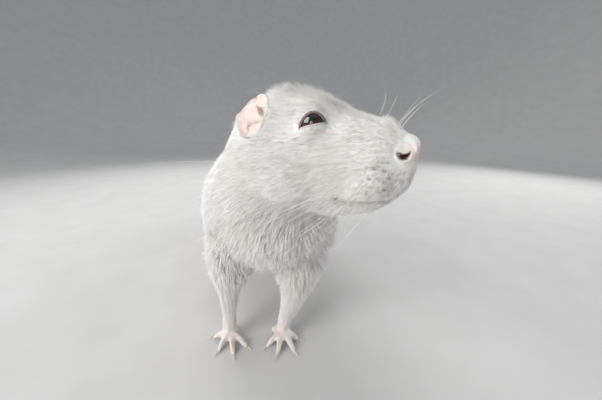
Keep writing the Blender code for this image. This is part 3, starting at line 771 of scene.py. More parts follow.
def around_eye(side, points, values, directions):
    """Draws the skin over the ball as lids. Outside the opening its distance from the
    ball's middle is at least the ball's radius and a lid's height, and grows by no more
    than a gentle slope; inside the opening it drops behind the ball. The coat parts round
    the eye and is shortest at the rim. The last result is where the skin may be smoothed."""
    front, up, distance = eye_angles(points, side)
    near = np.flatnonzero((distance < EYE_RADIUS + EYE_REACH) & (np.hypot(front, up) < 105))
    front, up, distance = front[near], up[near], distance[near]
    gap, _ = distance_to(np.stack([front, up], -1), rim_line())
    across = np.clip(front / OPENING_HALF, -1, 1)
    inside = (
        (np.abs(front) < OPENING_HALF)
        & (up < lid_line(across, UPPER_BOW))
        & (up > lid_line(across, LOWER_BOW))
    )
    gap = np.where(inside, -gap, gap)
    puff = 0.16 * bell(gap, 9, 7) * (up > OPENING_LINE)
    height = EYE_RADIUS + LID_HEIGHT + puff
    lid = height - 1.6 * eased(gap, 22, 60)
    over = (distance + lid + np.sqrt((distance - lid) ** 2 + 0.12)) / 2
    slope = height + 0.035 * np.maximum(gap, 0) + 0.008 * np.maximum(gap - 9, 0) ** 2
    over = np.minimum(over, slope)
    over = over + (distance - over) * eased(gap, 22, 46)
    radius = blend(EYE_RADIUS - SKIN_BEHIND, over, eased(gap, -4.0, 1.5))
    radius = np.where(distance < EYE_RADIUS - 2.2, distance, radius)
    away = points[near] - eye_middle(side)
    points, values, directions = points.copy(), values.copy(), directions.copy()
    points[near] = eye_middle(side) + away / distance[:, None] * radius[:, None]
    soft = np.zeros(len(points))
    soft[near] = eased(gap, 9, 20) * eased(np.hypot(front, up), 104, 85)
    close = eased(gap, 42, 6)
    values[near, LENGTH] = blend(values[near, LENGTH], 0.85, close)
    values[near, WIDTH] = blend(values[near, WIDTH], 0.11, close)
    values[near, DENSITY] *= (1 + 0.5 * close) * eased(gap, 1.0, 5.0)
    values[near, BARE] = np.maximum(values[near, BARE], eased(gap, 6.0, 2.0))
    radial = unit(square_to(away, eye_axes(side)[0]))
    inward = np.minimum((directions[near] * radial).sum(1), 0)
    round_eye = directions[near] - radial * (inward * 0.8 * eased(gap, 32, 6))[:, None]
    directions[near] = unit(round_eye + radial * (0.1 * close)[:, None])
    return points, values, directions, soft


def lid_rim(side):
    """The smooth moist edge of both lids: a tube of oval section carried round the opening
    just outside its edge, at the ball's radius. Its place is the ball's middle plus radius
    times (out cos angle + (front cos turn + up sin turn) sin angle)."""
    line = rim_line()
    along = np.roll(line, -1, 0) - np.roll(line, 1, 0)
    normal = unit(np.stack([along[:, 1], -along[:, 0]], -1))
    turn = once_round(RIM_SIDES)[:, None]
    degrees = line[None] + normal[None] * (1.4 + 4.4 * np.cos(turn))[..., None]
    angle = np.radians(np.hypot(degrees[..., 0], degrees[..., 1]))[..., None]
    way = degrees / np.degrees(angle)
    outward, front, up = eye_axes(side)
    ways = outward * np.cos(angle) + (front * way[..., :1] + up * way[..., 1:]) * np.sin(angle)
    radius = EYE_RADIUS + 0.13 + 0.24 * np.sin(turn)
    points = eye_middle(side) + radius[..., None] * ways
    rows = np.concatenate([points, points[:1]])
    triangles = grid_triangles(*rows.shape[:2])
    points = points.reshape(-1, 3)
    return points, facing_out(points, triangles % len(points))


# ---------------------------------------------------------------- ears
EAR_ROOT = (41.5, 11.8, 6.0)
EAR_HEIGHT = 12.3
EAR_HALF_WIDTH = 5.7
EAR_SUNK = 3.5
EAR_WALL = 0.42
EAR_RIM = 0.34
EAR_FLOW = unit(UP * 0.8 - FORWARD * 0.5)  # the way of its hair


def ear_axes(side):
    """An ear's root, and three ways from it: along the ear, across it to its rear edge,
    and the way that its hollow faces."""
    root = on_side(EAR_ROOT, side)
    lengthwise = unit(UP * 0.82 - LEFT * side * 0.45 - FORWARD * 0.35)
    across = LEFT * side * 0.3 - FORWARD * 0.6 - UP * 0.7
    across = unit(square_to(across, lengthwise))
    return root, np.stack([lengthwise, across, np.cross(across, lengthwise) * side])


def ear_hollow(points):
    """1 at the points of the head that lie in front of an ear's hollow, and 0 away from it:
    exp(-d^4) of the distance d in the ear's own axes."""
    found = np.zeros(len(points))
    for side in (-1, 1):
        root, axes = ear_axes(side)
        along, across, front = ((points - root) @ axes.T).T
        away = ((along - 2.5) / 6.5) ** 2 + (across / 5.2) ** 2 + ((front - 0.6) / 4.2) ** 2
        found = np.maximum(found, bell(away, 0, 1))
    return found


def ear(side):
    """A thin cupped leaf. At v along it and u across: place = root + length * v + width(v)
    * u - (hollow + lean + folds) along the way it faces. The folds are a narrow bend that
    sets off the top flap, an upright ridge near the front edge with a furrow behind it, and
    small waves; the wall is two such sheets, thicker along the rim."""
    v = np.linspace(0, 1, 44)[:, None]
    u = np.sin(np.linspace(-1, 1, 30) * math.pi / 2)[None]
    root, (lengthwise, across, facing) = ear_axes(side)
    taper = np.clip((v - 0.5) / 0.5, 0, 1)
    width = EAR_HALF_WIDTH * (0.55 + 0.45 * np.sin(math.pi * np.minimum(v, 0.5)))
    width = width * np.sqrt(1 - taper**2.2) * (1 - 0.22 * taper) + 0.06
    corner = 0.55 * bell(v, 0.52, 0.1) * np.clip(u, 0, 1) ** 2
    height = (EAR_HEIGHT + EAR_SUNK) * v - EAR_SUNK + 0.2 * np.sin(u * 5 + 1) * taper
    hollow = 3.0 * (1 - u**2) * (1 - 0.8 * v)
    flap = eased(v - 0.06 * u, 0.53, 0.62)
    fold = 1.5 * flap * (v - 0.5) - 0.45 * bell(v - 0.06 * u, 0.56, 0.05)
    upright = eased(v, 0.2, 0.45) * (1 - 0.4 * v)
    fold = fold - 0.75 * upright * bell(u, -0.42, 0.11) + 0.5 * upright * bell(u, -0.15, 0.14)
    fold = fold + 0.1 * np.sin(7 * u + 15 * v) * v + 0.07 * np.sin(16 * u - 9 * v) * v
    fold = fold - 0.7 * bell(u, 0.55, 0.13) * eased(v, 0.44, 0.3) * eased(v, 0.1, 0.2)
    sheet = (
        root
        + lengthwise * height[..., None]
        + across * (width * u + corner)[..., None]
        - facing * (hollow + 1.2 * v * v + fold)[..., None]
    )
    rim = np.clip(np.maximum(np.abs(u) ** 8, taper**6), 0, 1)
    wall = (EAR_WALL + EAR_RIM * rim) * np.sqrt(np.clip(1.02 - u**12, 0.02, 1)) / 2
    wall = wall * np.sqrt(np.clip(1.0 - taper**16, 0.02, 1))
    front = sheet + facing * wall[..., None]
    behind = sheet - facing * wall[..., None]
    ring = np.concatenate([front, behind[:, ::-1]], axis=1)
    ring[0] = ring[0].mean(0)
    ring[-1] = ring[-1].mean(0)
    triangles = grid_triangles(*ring.shape[:2])
    return ring.reshape(-1, 3), triangles if side < 0 else triangles[:, ::-1]


# ---------------------------------------------------------------- whole skin
# The tail's middle line from the rump to the tip, as the body is measured
TAIL_LINE = (
    (0.0, 256.0, 25.0),
    (0.5, 266.0, 15.5),
    (2.5, 279.0, 8.0),
    (8.0, 299.0, 4.4),
    (19.0, 327.0, 3.7),
    (34.0, 354.0, 3.1),
    (49.0, 381.0, 2.4),
    (56.5, 408.0, 1.7),
    (53.5, 434.0, 0.85),
)
# The nose tip, as the body is measured: from the floor under the camera
NOSE_IN_BODY = (39.5, 50.0, 89.5)


def body_shift():
    """How far places in the frame lie from places as the body is measured."""
    return NOSE_TIP - np.array(NOSE_IN_BODY)


def tail_line():
    """The tail's middle line in the frame."""
    return curve_through(TAIL_LINE, 400) + body_shift()


def whole_skin(settings):
    """Skin, lid rims and ears as one set of points and triangles, with COAT values and the
    way of the coat."""
    parts = [skin_points(settings)]
    for side in (-1, 1):
        for shape, row, hair in ((lid_rim(side), COAT["nose"], 0.0), (ear(side), COAT["ear"], 1.0)):
            values = np.tile(np.array(row[:6], float), (len(shape[0]), 1))
            values[:, DENSITY] *= hair
            parts.append((*shape, values, np.tile(EAR_FLOW, (len(values), 1))))
    start = np.cumsum([0] + [len(part[0]) for part in parts])
    points, triangles, values, directions = zip(*parts)
    triangles = [part + offset for part, offset in zip(triangles, start)]
    return tuple(np.concatenate(part) for part in (points, triangles, values, directions))


def lid_shade(points):
    """1 behind the lids and half along the upper lid's edge, which its own shadow darkens."""
    found = np.zeros(len(points))
    for side in (-1, 1):
        front, up, distance = eye_angles(points, side)
        near = np.flatnonzero((distance < EYE_RADIUS + 2) & (np.hypot(front, up) < 80))
        gap, place = distance_to(np.stack([front[near], up[near]], -1), rim_line())
        upper = np.where(place < LID_SIDES / 2, 1.0, 0.25)
        found[near] = np.maximum(found[near], 0.8 * upper * eased(gap, 8, 2))
        found[near] = np.maximum(found[near], (distance[near] < EYE_RADIUS - 0.3) * 1.0)
    return found


def tail_rings(points):
    """The distance along the tail's middle line, in metres, at the points of the tail, and
    0 elsewhere."""
    line = tail_line()
    steps = np.linalg.norm(np.diff(line, axis=0), axis=1)
    along = np.concatenate([[0.0], np.cumsum(steps)])
    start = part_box("tail_1")[0].y / MM
    found = np.zeros(len(points))
    far = np.flatnonzero(points[:, 1] > start - 4)
    for block in np.array_split(far, max(1, len(far) // 2000)):
        found[block] = along[distance_to(points[block], line)[1]]
    return found * MM


def painted_skin_shade(points):
    """How much shade is painted on the bare skin, from 0 to 1, in its folds and openings."""
    return np.maximum(face_values(points, painted_face_shade), lid_shade(points))


def unwrapped(obj):
    """Unwraps a mesh by its own shape, in flat pieces, and returns the map's corners."""
    select([obj])
    bpy.ops.object.mode_set(mode="EDIT")
    bpy.ops.mesh.select_all(action="SELECT")
    bpy.ops.uv.smart_project(angle_limit=math.radians(66), island_margin=0.002)
    bpy.ops.object.mode_set(mode="OBJECT")
    layer = obj.data.uv_layers.active
    corners = np.empty(len(obj.data.loops) * 2, np.float32)
    layer.uv.foreach_get("vector", corners)
    return corners.reshape(-1, 3, 2)


# ---------------------------------------------------------------- the coat
def scattered(points, triangles, density, rng):
    """Random places on a mesh, so many to a square millimetre as density says: each
    place's triangle and its three shares of the corners."""
    a, b, c = corner_points(points, triangles)
    area = np.linalg.norm(np.cross(b - a, c - a), axis=1) / 2
    weight = np.cumsum(area * density[triangles].mean(1))
    count = int(weight[-1])
    target = (np.arange(count) + rng.random(count)) * weight[-1] / count
    chosen = np.minimum(np.searchsorted(weight, target), len(triangles) - 1)
    r, s = np.sqrt(rng.random(count)), rng.random(count)
    return chosen, np.stack([1 - r, r * (1 - s), r * s], -1)


def waves(points, scale, seed):
    """A smooth random value from -1 to 1 at each point: a sum of six sine waves whose
    ways and phases are random and whose lengths lie about scale millimetres."""
    rng = np.random.default_rng(seed)
    ways = unit(rng.normal(size=(6, 3))) * rng.uniform(0.7, 1.5, (6, 1)) * 2 * math.pi / scale
    return np.sin(points @ ways.T + rng.uniform(0, 6.28, 6)).mean(1) * 1.6


def waves_of_three(points, scale, seed):
    """Three such values for each point."""
    return np.stack([waves(points, scale, seed + k) for k in range(3)], -1)


# Tufts: shares of the length where a tuft has a ring of three corners, and their widths
SHORT_TUFT = ((0.0,), (1.0,))
LONG_TUFT = ((0.0, 0.5), (0.85, 1.0))
CORNERS = ((-1.0, 0.0), (1.0, 0.0), (0.0, 0.7))  # of a ring: across, and up from the skin
PATCH = 0.003  # of the map, for each tuft
TUFT_ROOT = 0.12  # how far under the skin a tuft starts
LONGEST_STRAIGHT = 7.2  # a longer tuft bends
LONG_HAIR, RAISED_HAIR = 4.6, 38.0  # longer, or lifted by more degrees, is in large clumps
CLUMP_SIZES = (1.25, 2.2)  # of small and of large clumps
CLUMPING = 0.7  # how far the tips of a clump are drawn together
CELLS = 8192  # more than a grid of clumps has along any side
SMALL_CLUMPS = 100000  # added to their numbers, past those of the large ones
SHADE, SHADE_STREAKS, SHADE_SPREAD, CLUMP_SPREAD = 0.58, 0.24, 0.2, 0.16
TRUNK_SHADE = 0.48
STRAYS = 0.025  # share of tufts that stand off the rest
FLATTEST = 3.0  # degrees of lift
HIGHEST = 1.022  # times the height of the frame's box


def clump_middles(places, size, seed):
    """The middle of the clump that each place belongs to, and the clump's number. The clumps
    are the cells of a grid of this size, warped by waves."""
    warp = waves_of_three(places, 2.3 * size, seed)
    cells = np.floor(places / size + 0.45 * warp).astype(np.int64) + CELLS // 2
    cells = (cells[:, 0] * CELLS + cells[:, 1]) * CELLS + cells[:, 2]
    clump = np.unique(cells, return_inverse=True)[1].ravel()
    count = np.bincount(clump)
    middles = np.stack([np.bincount(clump, places[:, k]) / count for k in range(3)], -1)
    return middles[clump], clump


def tufts(name, shape, roots, normals, flow, pull, look, uv):
    """Closed tapering spikes as one mesh. A tuft leaves the skin at its lift and bends
    down to lie along it: its middle line is the root plus, at the share t of its length,
    flow * length * t * cos(lift) + normal * length * sin(lift) * 1.25 t (1 - 0.45 t), plus
    its pull times t squared. The columns of look are length, width, lift, shade and painted
    shade. The attribute strand holds shade, t and painted shade."""
    shares, widths = shape
    count, rings = len(roots), len(shares)
    side = np.cross(normals, flow)
    length, width, lift = (look[:, [k]] for k in range(3))
    rise, run = np.sin(np.radians(lift)), np.cos(np.radians(lift))

    def line(t):
        up = normals * (length * rise * t * (1 - 0.45 * t) * 1.25)
        return roots + flow * (length * run * t) + up + pull * t * t

    rows = []
    for share, wide in zip(shares, widths):
        centre = line(share) - normals * (TUFT_ROOT if share == 0 else 0.0)
        for across, up in CORNERS:
            rows.append(centre + side * (width * wide * across / 2) + normals * (width * wide * up / 2))
    rows.append(line(1.0))
    corners = np.stack(rows, 1)
    corners[..., 2] = np.maximum(corners[..., 2], 0.0)
    each = 3 * rings + 1
    faces = [(0, 2, 1)]
    for ring in range(rings - 1):
        for k in range(3):
            a, b = ring * 3 + k, ring * 3 + (k + 1) % 3
            faces += [(a, b, b + 3), (a, b + 3, a + 3)]
    last = 3 * (rings - 1)
    faces += [(last + k, last + (k + 1) % 3, each - 1) for k in range(3)]
    faces = np.array(faces)
    triangles = (np.arange(count) * each)[:, None, None] + faces
    along = np.concatenate([np.repeat(shares, 3), [1.0]])
    across = np.concatenate([np.tile([-1.0, 1.0, 0.0], rings), [0.0]])
    local = np.stack([across / 2, along - 0.5], -1)[faces] * PATCH
    corner_uv = uv[:, None, None] + local[None]
    strand = np.ones((count, each, 4))
    strand[..., 0], strand[..., 1], strand[..., 2] = look[:, [3]], along, look[:, [4]]
    corner_uv = np.clip(corner_uv, 0, 1).reshape(-1, 2)
    strand = {"strand": strand.reshape(-1, 4)}
    return new_piece(name, corners.reshape(-1, 3), triangles.reshape(-1, 3), corner_uv, strand, False)


def coat_pieces(skin, settings):
    """Every tuft of the coat, in pieces under the triangle limit, from nose to tail."""
    points, triangles, values, directions, normals, corners = skin
    rng = np.random.default_rng(SEED)
    chosen, share = scattered(points, triangles, values[:, DENSITY] * settings.thickness, rng)

    def at(data):
        return (data[triangles[chosen]] * share[..., None]).sum(1)

    roots, look, flow, normal = at(points), at(values), at(directions), unit(at(normals))
    uv = (corners[chosen] * share[..., None]).sum(1)
    count = len(roots)
    clump = waves_of_three(roots, 5.0, SEED)
    streak = waves_of_three(roots, 1.7, SEED + 5)
    loose = eased(look[:, LENGTH], 3.0, 8.0)[:, None]
    raised = eased(look[:, LIFT], 24, 40)

    # the way, length, lift, width and sideways bend of each tuft
    flow = unit(flow) + clump * (0.06 + 0.06 * loose) + streak * 0.04
    flow = flow + rng.normal(0, 0.06, (count, 3))
    flow = unit(square_to(flow, normal))
    length = look[:, LENGTH] * settings.length * rng.uniform(0.7, 1.15, count)
    lift = look[:, LIFT] * rng.uniform(0.55, 1.3, count) + 3 * clump[:, 0] * loose[:, 0]
    lift = lift + 16 * clump[:, 1] * raised
    stray = rng.random(count) < STRAYS + 0.08 * raised
    lift = np.where(stray, lift * 2.0 + 6, lift)
    width = look[:, WIDTH] * rng.uniform(0.7, 1.2, count) * np.where(stray, 0.6, 1.0)
    bend = rng.normal(0, 0.05, count) + 0.06 * clump[:, 1]

    # tips are drawn to the middle of their clump, and each clump has a shade of its own
    small, small_clump = clump_middles(roots, CLUMP_SIZES[0], SEED + 30)
    large, large_clump = clump_middles(roots, CLUMP_SIZES[1], SEED + 40)
    long_hair = (look[:, LENGTH] > LONG_HAIR) | (look[:, LIFT] > RAISED_HAIR)
    pull = square_to(np.where(long_hair[:, None], large, small) - roots, normal)
    pull = pull * ((CLUMPING + 0.25 * raised) * rng.uniform(0.5, 1.15, count))[:, None]
    pull = pull + np.cross(normal, flow) * (length * bend)[:, None]
    which = np.where(long_hair, large_clump, small_clump + SMALL_CLUMPS)
    clump_shade = np.random.default_rng(SEED + 50).normal(0, CLUMP_SPREAD, which.max() + 1)

    # streaks of darker tufts run along the coat; lower down it is painted lighter, as light on the
    # legs, and it is evener on the trunk
    along = roots - NOSE_TIP
    along = along - 0.85 * flow * (along * flow).sum(1, keepdims=True)
    shade = SHADE + SHADE_STREAKS * waves(along, 1.3, SEED + 9) + rng.normal(0, SHADE_SPREAD, count)
    # painted light: tufts low on the body are made lighter
    shade = shade + clump_shade[which] + 0.3 * eased(roots[:, 2], 46, 24)
    trunk = eased(look[:, WIDTH], 0.2, 0.37)
    shade = shade + (TRUNK_SHADE - shade) * 0.6 * trunk
    # painted shade on the hair at the mouth, round the follicles and under the muzzle
    painted_hair_grey = face_values(roots, painted_hair_shade)
    lift = np.maximum(lift, FLATTEST)

    # a tuft that would rise out of the frame's box is cut shorter
    rise = flow[:, 2] * length * np.cos(np.radians(lift))
    rise = rise + normal[:, 2] * length * np.sin(np.radians(lift)) * 0.7
    room = CAD_BOX[1][2] / MM * HIGHEST - roots[:, 2]
    length = length * np.clip(room / np.maximum(rise, 0.1), 0.2, 1)
    look = np.stack([length, width, lift, np.clip(shade, 0, 1), painted_hair_grey], -1)
    made = []
    long = length > LONGEST_STRAIGHT
    for shape, mask, kind in ((SHORT_TUFT, ~long, "short"), (LONG_TUFT, long, "long")):
        index = np.flatnonzero(mask)
        index = index[np.argsort(roots[index, 1], kind="stable")]
        each = 6 * len(shape[0]) - 2
        parts = max(1, math.ceil(len(index) * each / MOST_TRIANGLES))
        for number, part in enumerate(np.array_split(index, parts), 1):
            rows = (data[part] for data in (roots, normal, flow, pull, look, uv))
            made.append(tufts(f"coat_{kind}_{number}", shape, *rows))
    return made


# ---------------------------------------------------------------- whiskers and eyes
WHISKER_SIDES = 5
WHISKER_STEPS = 12


def tubes(name, lines, radii):
    """Closed tapering tubes as one mesh: at each point of each line, a ring of points
    radius * (a cos turn + b sin turn) round it, with a and b square to the line."""
    count, steps, sides = *lines.shape[:2], WHISKER_SIDES
    along = unit(np.gradient(lines, axis=1))
    first = unit(np.cross(along, np.array((0.3, 0.2, 1.0))))
    second = np.cross(along, first)
    turn = once_round(sides)
    rings = lines[:, :, None] + radii[:, :, None, None] * (
        first[:, :, None] * np.cos(turn)[:, None] + second[:, :, None] * np.sin(turn)[:, None]
    )
    body = grid_triangles(steps, sides)
    k = np.arange(1, sides - 1)
    last = (steps - 1) * sides
    start_cap = np.stack([0 * k, k, k + 1], -1)
    end_cap = np.stack([last + 0 * k, last + k + 1, last + k], -1)
    faces = np.concatenate([body, start_cap, end_cap])[:, ::-1]
    triangles = (np.arange(count) * steps * sides)[:, None, None] + faces
    return new_piece(name, rings.reshape(-1, 3), triangles.reshape(-1, 3))


# Whiskers of the left pad that rise behind the muzzle: place in the head, and how far each
# goes forward, out and up at first and by bending
RAISED_WHISKERS = (
    ((13.5, 8.6, -5.0), (14.8, 1.3, 31.3), (3.0, 12.6, -8.4)),
    ((12.0, 8.2, -6.0), (14.7, 4.3, 37.3), (-0.3, 7.3, -15.7)),
    ((11.0, 8.0, -4.4), (18.2, 5.5, 34.9), (-6.3, 3.8, -17.8)),
    ((14.5, 8.8, -6.4), (21.4, 2.7, 34.6), (-8.0, 10.0, -11.2)),
    ((17.0, 9.0, -5.6), (21.0, 7.5, 41.1), (-11.3, 3.2, -16.4)),
    ((18.5, 9.2, -7.6), (21.8, 8.0, 50.9), (-14.9, 2.6, -22.9)),
)
RAISED_RADIUS = 0.11
# Long single hairs besides the pads': place in the head, way forward, out and up, length
EXTRA_WHISKERS = (
    ((22.0, 7.2, 10.6), (-0.35, 0.45, 0.9), 10),
    ((24.0, 7.0, 11.4), (-0.6, 0.35, 0.8), 11),
    ((33.0, 13.4, -8.0), (-0.7, 0.35, -0.6), 9),
    ((36.0, 5.0, 14.0), (-0.9, 0.15, 0.5), 9),
    ((39.0, 4.0, 14.6), (-0.9, 0.1, 0.35), 11),
    ((16.0, 5.6, -17.6), (-0.6, 0.4, -0.8), 14),
    ((12.0, 4.4, -17.8), (-0.3, 0.35, -0.9), 11),
    ((8.6, 3.2, -16.4), (0.1, 0.3, -0.9), 8),
)
EXTRA_RADIUS = 0.032
PAD_RADIUS, PAD_RADIUS_REAR = 0.04, 0.03  # of the front ones, and what the rear ones add
BOX_MARGIN = 0.02  # share of the frame's box that a whisker may pass it by
CUTS = 24  # at most so many times a whisker is cut by a tenth


def whisker_lines(skin_near, settings):
    """The middle lines of all whiskers and their radii. A whisker is the root plus length *
    (way * t + sweep * t squared), with the radius times 1 - 0.88 t^1.3; its length is cut
    until it stays inside the frame's box."""
    rng = np.random.default_rng(SEED + 1)
    places = head_places(skin_near)
    found = []  # in groups: roots, ways, sweeps, lengths, radii
    for side in (-1, 1):
        pad = whisker_roots()
        skin = places[places[:, 1] * side > 1.0]
        gap = (skin[:, 0] - pad[:, [0]]) ** 2 + (skin[:, 2] - pad[:, [2]]) ** 2
        pad[:, 1] = skin[(gap - 0.02 * np.abs(skin[:, 1])).argmin(1), 1]
        rear = np.clip((pad[:, 0] - 5.0) / 10.0, 0, 1)
        high = (pad[:, 2] + 8.0) / 3.6
        spread = 1.0 if side > 0 else 0.5
        way = (
            LEFT * side * (spread - 0.2 * rear)[:, None]
            + UP * (0.55 * high - 0.45 + 0.6 * spread * (side > 0))[:, None]
            + FORWARD * (0.9 * spread - 0.65 - 0.8 * rear)[:, None]
            + rng.normal(0, 0.07, (len(pad), 3))
        )
        sweep = -FORWARD * (0.30 + 0.25 * rear)[:, None] + np.array((0, 0, -0.10))
        length = (12 + 30 * rear) * rng.uniform(0.7, 1.15, len(pad))
        radius = PAD_RADIUS + PAD_RADIUS_REAR * rear
        found.append((in_head(*pad.T), unit(way), sweep, length, radius))
        root, way, length = (np.array(data) for data in zip(*EXTRA_WHISKERS))
        root = on_side(root.T, side)
        way = FORWARD * way[:, [0]] + LEFT * side * way[:, [1]] + UP * way[:, [2]]
        sweep = np.tile(-FORWARD * 0.25 + np.array((0, 0, -0.12)), (len(root), 1))
        found.append((root, unit(way), sweep, length, np.full(len(root), EXTRA_RADIUS)))
    root, way, sweep = (np.array(data) for data in zip(*RAISED_WHISKERS))
    long = np.linalg.norm(way, axis=1, keepdims=True)
    way, sweep = way @ HEAD_AXES / long, sweep @ HEAD_AXES / long
    found.append((in_head(*root.T), way, sweep, long[:, 0], np.full(len(root), RAISED_RADIUS)))
    root, way, sweep, length, radius = (np.concatenate(data) for data in zip(*found))
    length = length * settings.length
    low, high = (np.array(corner) / MM for corner in CAD_BOX)
    margin = (high - low) * BOX_MARGIN
    t = np.linspace(0, 1, WHISKER_STEPS)[None, :, None]
    for _ in range(CUTS):
        lines = root[:, None] + length[:, None, None] * (way[:, None] * t + sweep[:, None] * t * t)
        outside = ((lines < low - margin) | (lines > high + margin)).any((1, 2))
        length = np.where(outside, length * 0.9, length)
    lines = lines - unit(way)[:, None] * 0.8 * (1 - t)
    taper = 1 - 0.88 * t[..., 0] ** 1.3
    return lines, radius[:, None] * taper * settings.width


def eyeball(side, name):
    """A ball with a bulging front: at the angle o from its outward axis and a round it, its
    radius is R * (1 + bulge * exp(-(o / 0.75)^2)). The attribute ring holds o / pi and
    a / (2 pi)."""
    rows, columns = 56, 64
    o = np.linspace(0.0005, math.pi - 0.0005, rows)[:, None]
    a = once_round(columns)[None]
    outward, front, up = eye_axes(side)
    radius = (EYE_RADIUS - 0.04) * (1 + 0.025 * bell(o, 0, 0.75))
    ring = front * np.cos(a)[..., None] + up * np.sin(a)[..., None]
    reach = outward * np.cos(o)[..., None] + ring * np.sin(o)[..., None]
    points = eye_middle(side) + radius[..., None] * reach
    triangles = grid_triangles(rows, columns)
    triangles = triangles if side > 0 else triangles[:, ::-1]
    ring = np.ones((rows, columns, 4))
    ring[..., 0], ring[..., 1] = o / math.pi, a / (2 * math.pi)
    return new_piece(name, points.reshape(-1, 3), triangles, colours={"ring": ring.reshape(-1, 4)})


# ---------------------------------------------------------------- finishes
class Wire:
    """An output of a shader node, on which arithmetic adds Math nodes."""

    def __init__(self, tree, socket):
        self.tree, self.socket = tree, socket

    def node(self, kind, output, inputs=None, **settings):
        """The output of a new node of any kind, with these inputs and settings."""
        made = self.tree.nodes.new("ShaderNode" + kind)
        for key, value in settings.items():
            setattr(made, key, value)
        for key, value in (inputs or {}).items():
            if isinstance(value, Wire):
                self.tree.links.new(value.socket, made.inputs[key])
            else:
                made.inputs[key].default_value = value
        return Wire(self.tree, made.outputs[output])

    def maths(self, operation, *terms):
        return self.node("Math", 0, dict(enumerate(terms)), operation=operation)

    def __add__(self, other):
        return self.maths("ADD", self, other)

    def __sub__(self, other):
        return self.maths("SUBTRACT", self, other)

    def __mul__(self, other):
        return self.maths("MULTIPLY", self, other)

    def __radd__(self, other):
        return self.maths("ADD", other, self)

    def __rsub__(self, other):
        return self.maths("SUBTRACT", other, self)

    def __rmul__(self, other):
        return self.maths("MULTIPLY", other, self)

    def clamped(self, low, high):
        """0 at low and 1 at high, straight between them, and held beyond."""
        inputs = {"Value": self, "From Min": low, "From Max": high}
        return self.node("MapRange", 0, inputs, clamp=True)

    def sine(self):
        return self.maths("SINE", self)

    def mix(self, none, full):
        """A colour: none where this is 0, full where it is 1."""
        none, full = (tone if isinstance(tone, Wire) else (*tone, 1.0) for tone in (none, full))
        return self.node("Mix", 2, {0: self, 6: none, 7: full}, data_type="RGBA")

    def noise(self, scale, detail):
        """Noise at these places, so many grains to a metre."""
        return self.node("TexNoise", 0, {"Vector": self, "Scale": scale, "Detail": detail})

    def bump(self, distance, strength):
        """A Normal from this height, in metres times distance."""
        return self.node("Bump", 0, {"Height": self, "Distance": distance, "Strength": strength})


def finish(name, constants, build):
    """A material: constants go on the shader's own sockets, and build, given a Wire of
    the object's coordinates, returns the sockets that vary over the surface."""
    material = bpy.data.materials.new(name)
    material.use_nodes = True
    tree = material.node_tree
    shader = tree.nodes["Principled BSDF"]
    for key, value in constants.items():
        shader.inputs[key].default_value = value
    coordinates = tree.nodes.new("ShaderNodeTexCoord")
    start = Wire(tree, coordinates.outputs["Object"])
    for key, wire in build(start).items():
        tree.links.new(wire.socket, shader.inputs[key])
    return material


def channels(wire, attribute):
    """The three numbers of a point attribute."""
    found = wire.node("Attribute", "Color", attribute_name=attribute)
    split = found.node("SeparateColor", 0, {0: found})
    outputs = split.socket.node.outputs
    return [Wire(wire.tree, outputs[k]) for k in range(3)]


TAIL_RINGS = 380.0  # radians of their wave to a metre
IRIS_SPOKES = 60
PUPIL = (0.002, 0.001, 0.001)
WHISKER_WHITE, WHISKER_GREY = (0.9, 0.88, 0.84), (0.75, 0.72, 0.68)


def skin_finish(settings):
    """Pink bare skin with pores, painted shade in its folds and openings, and the tail's rings;
    under the coat, paler and streaked like the short hair that lies on it."""

    def build(place):
        bare, rings, dark = channels(place, "skin")
        blotch = place.noise(420, 3).clamped(0.35, 0.7)
        fine = place.noise(2600, 2)
        pink = blotch.mix(settings.pink, settings.flush)
        base = bare.mix(settings.under_coat, pink)
        # painted shade: folds, openings and lids take the dark shade colour
        base = dark.mix(base, settings.painted_shade_colour)
        ring = (rings * TAIL_RINGS).sine() * rings.maths("GREATER_THAN", rings, 0.001)
        height = fine * 0.35 + place.noise(900, 3) * 0.6 + ring * 0.55
        rough = 0.48 + 0.2 * fine - 0.1 * bare
        return {"Base Color": base, "Roughness": rough, "Normal": height.bump(0.00022, 0.7)}

    constants = {
        "Subsurface Weight": 0.35,
        "Subsurface Radius": (0.0012, 0.0006, 0.0004),
        "Subsurface Scale": 1.0,
        "Specular IOR Level": 0.4,
    }
    return finish("rat skin", constants, build)


def coat_finish(settings):
    """White hair, a little warmer and darker at the root as painted shade deep in the coat, each
    tuft a shade of its own, and painted shade at the mouth and the follicles."""

    def build(place):
        shade, along, painted_hair_grey = channels(place, "strand")
        patch = place.noise(60, 3).clamped(0.3, 0.75)
        white = patch.mix(settings.white, settings.cream)
        tuft = shade.clamped(0.0, 0.55).mix(settings.shade, white)
        # painted shade: each tuft is darker towards its root, deep in the coat
        hair = along.clamped(0.0, 0.35).mix(settings.root, tuft)
        # painted shade: hair at the mouth and the follicles is mixed towards the shade colour
        return {"Base Color": (painted_hair_grey * 0.9).mix(hair, settings.painted_hair_grey), "Roughness": 0.5 + 0.2 * shade}

    constants = {"Specular IOR Level": 0.35, "Sheen Weight": 0.15, "Sheen Roughness": 0.5}
    return finish("white coat", constants, build)


def eye_finish(settings):
    """A ruby iris with fine spokes round a black pupil, under a wet clear coat."""

    def build(place):
        ring, turn, _ = channels(place, "ring")
        spokes = (turn * (2 * math.pi * IRIS_SPOKES)).sine() * 0.5 + 0.5
        depth = ring.clamped(0.10, 0.16)
        iris = spokes.mix(settings.iris, settings.iris_dark)
        return {"Base Color": depth.mix(PUPIL, iris)}

    wet = {"Roughness": 0.04, "Coat Weight": 1.0, "Coat Roughness": 0.01, "Specular IOR Level": 0.6}
    return finish("wet eye", wet, build)


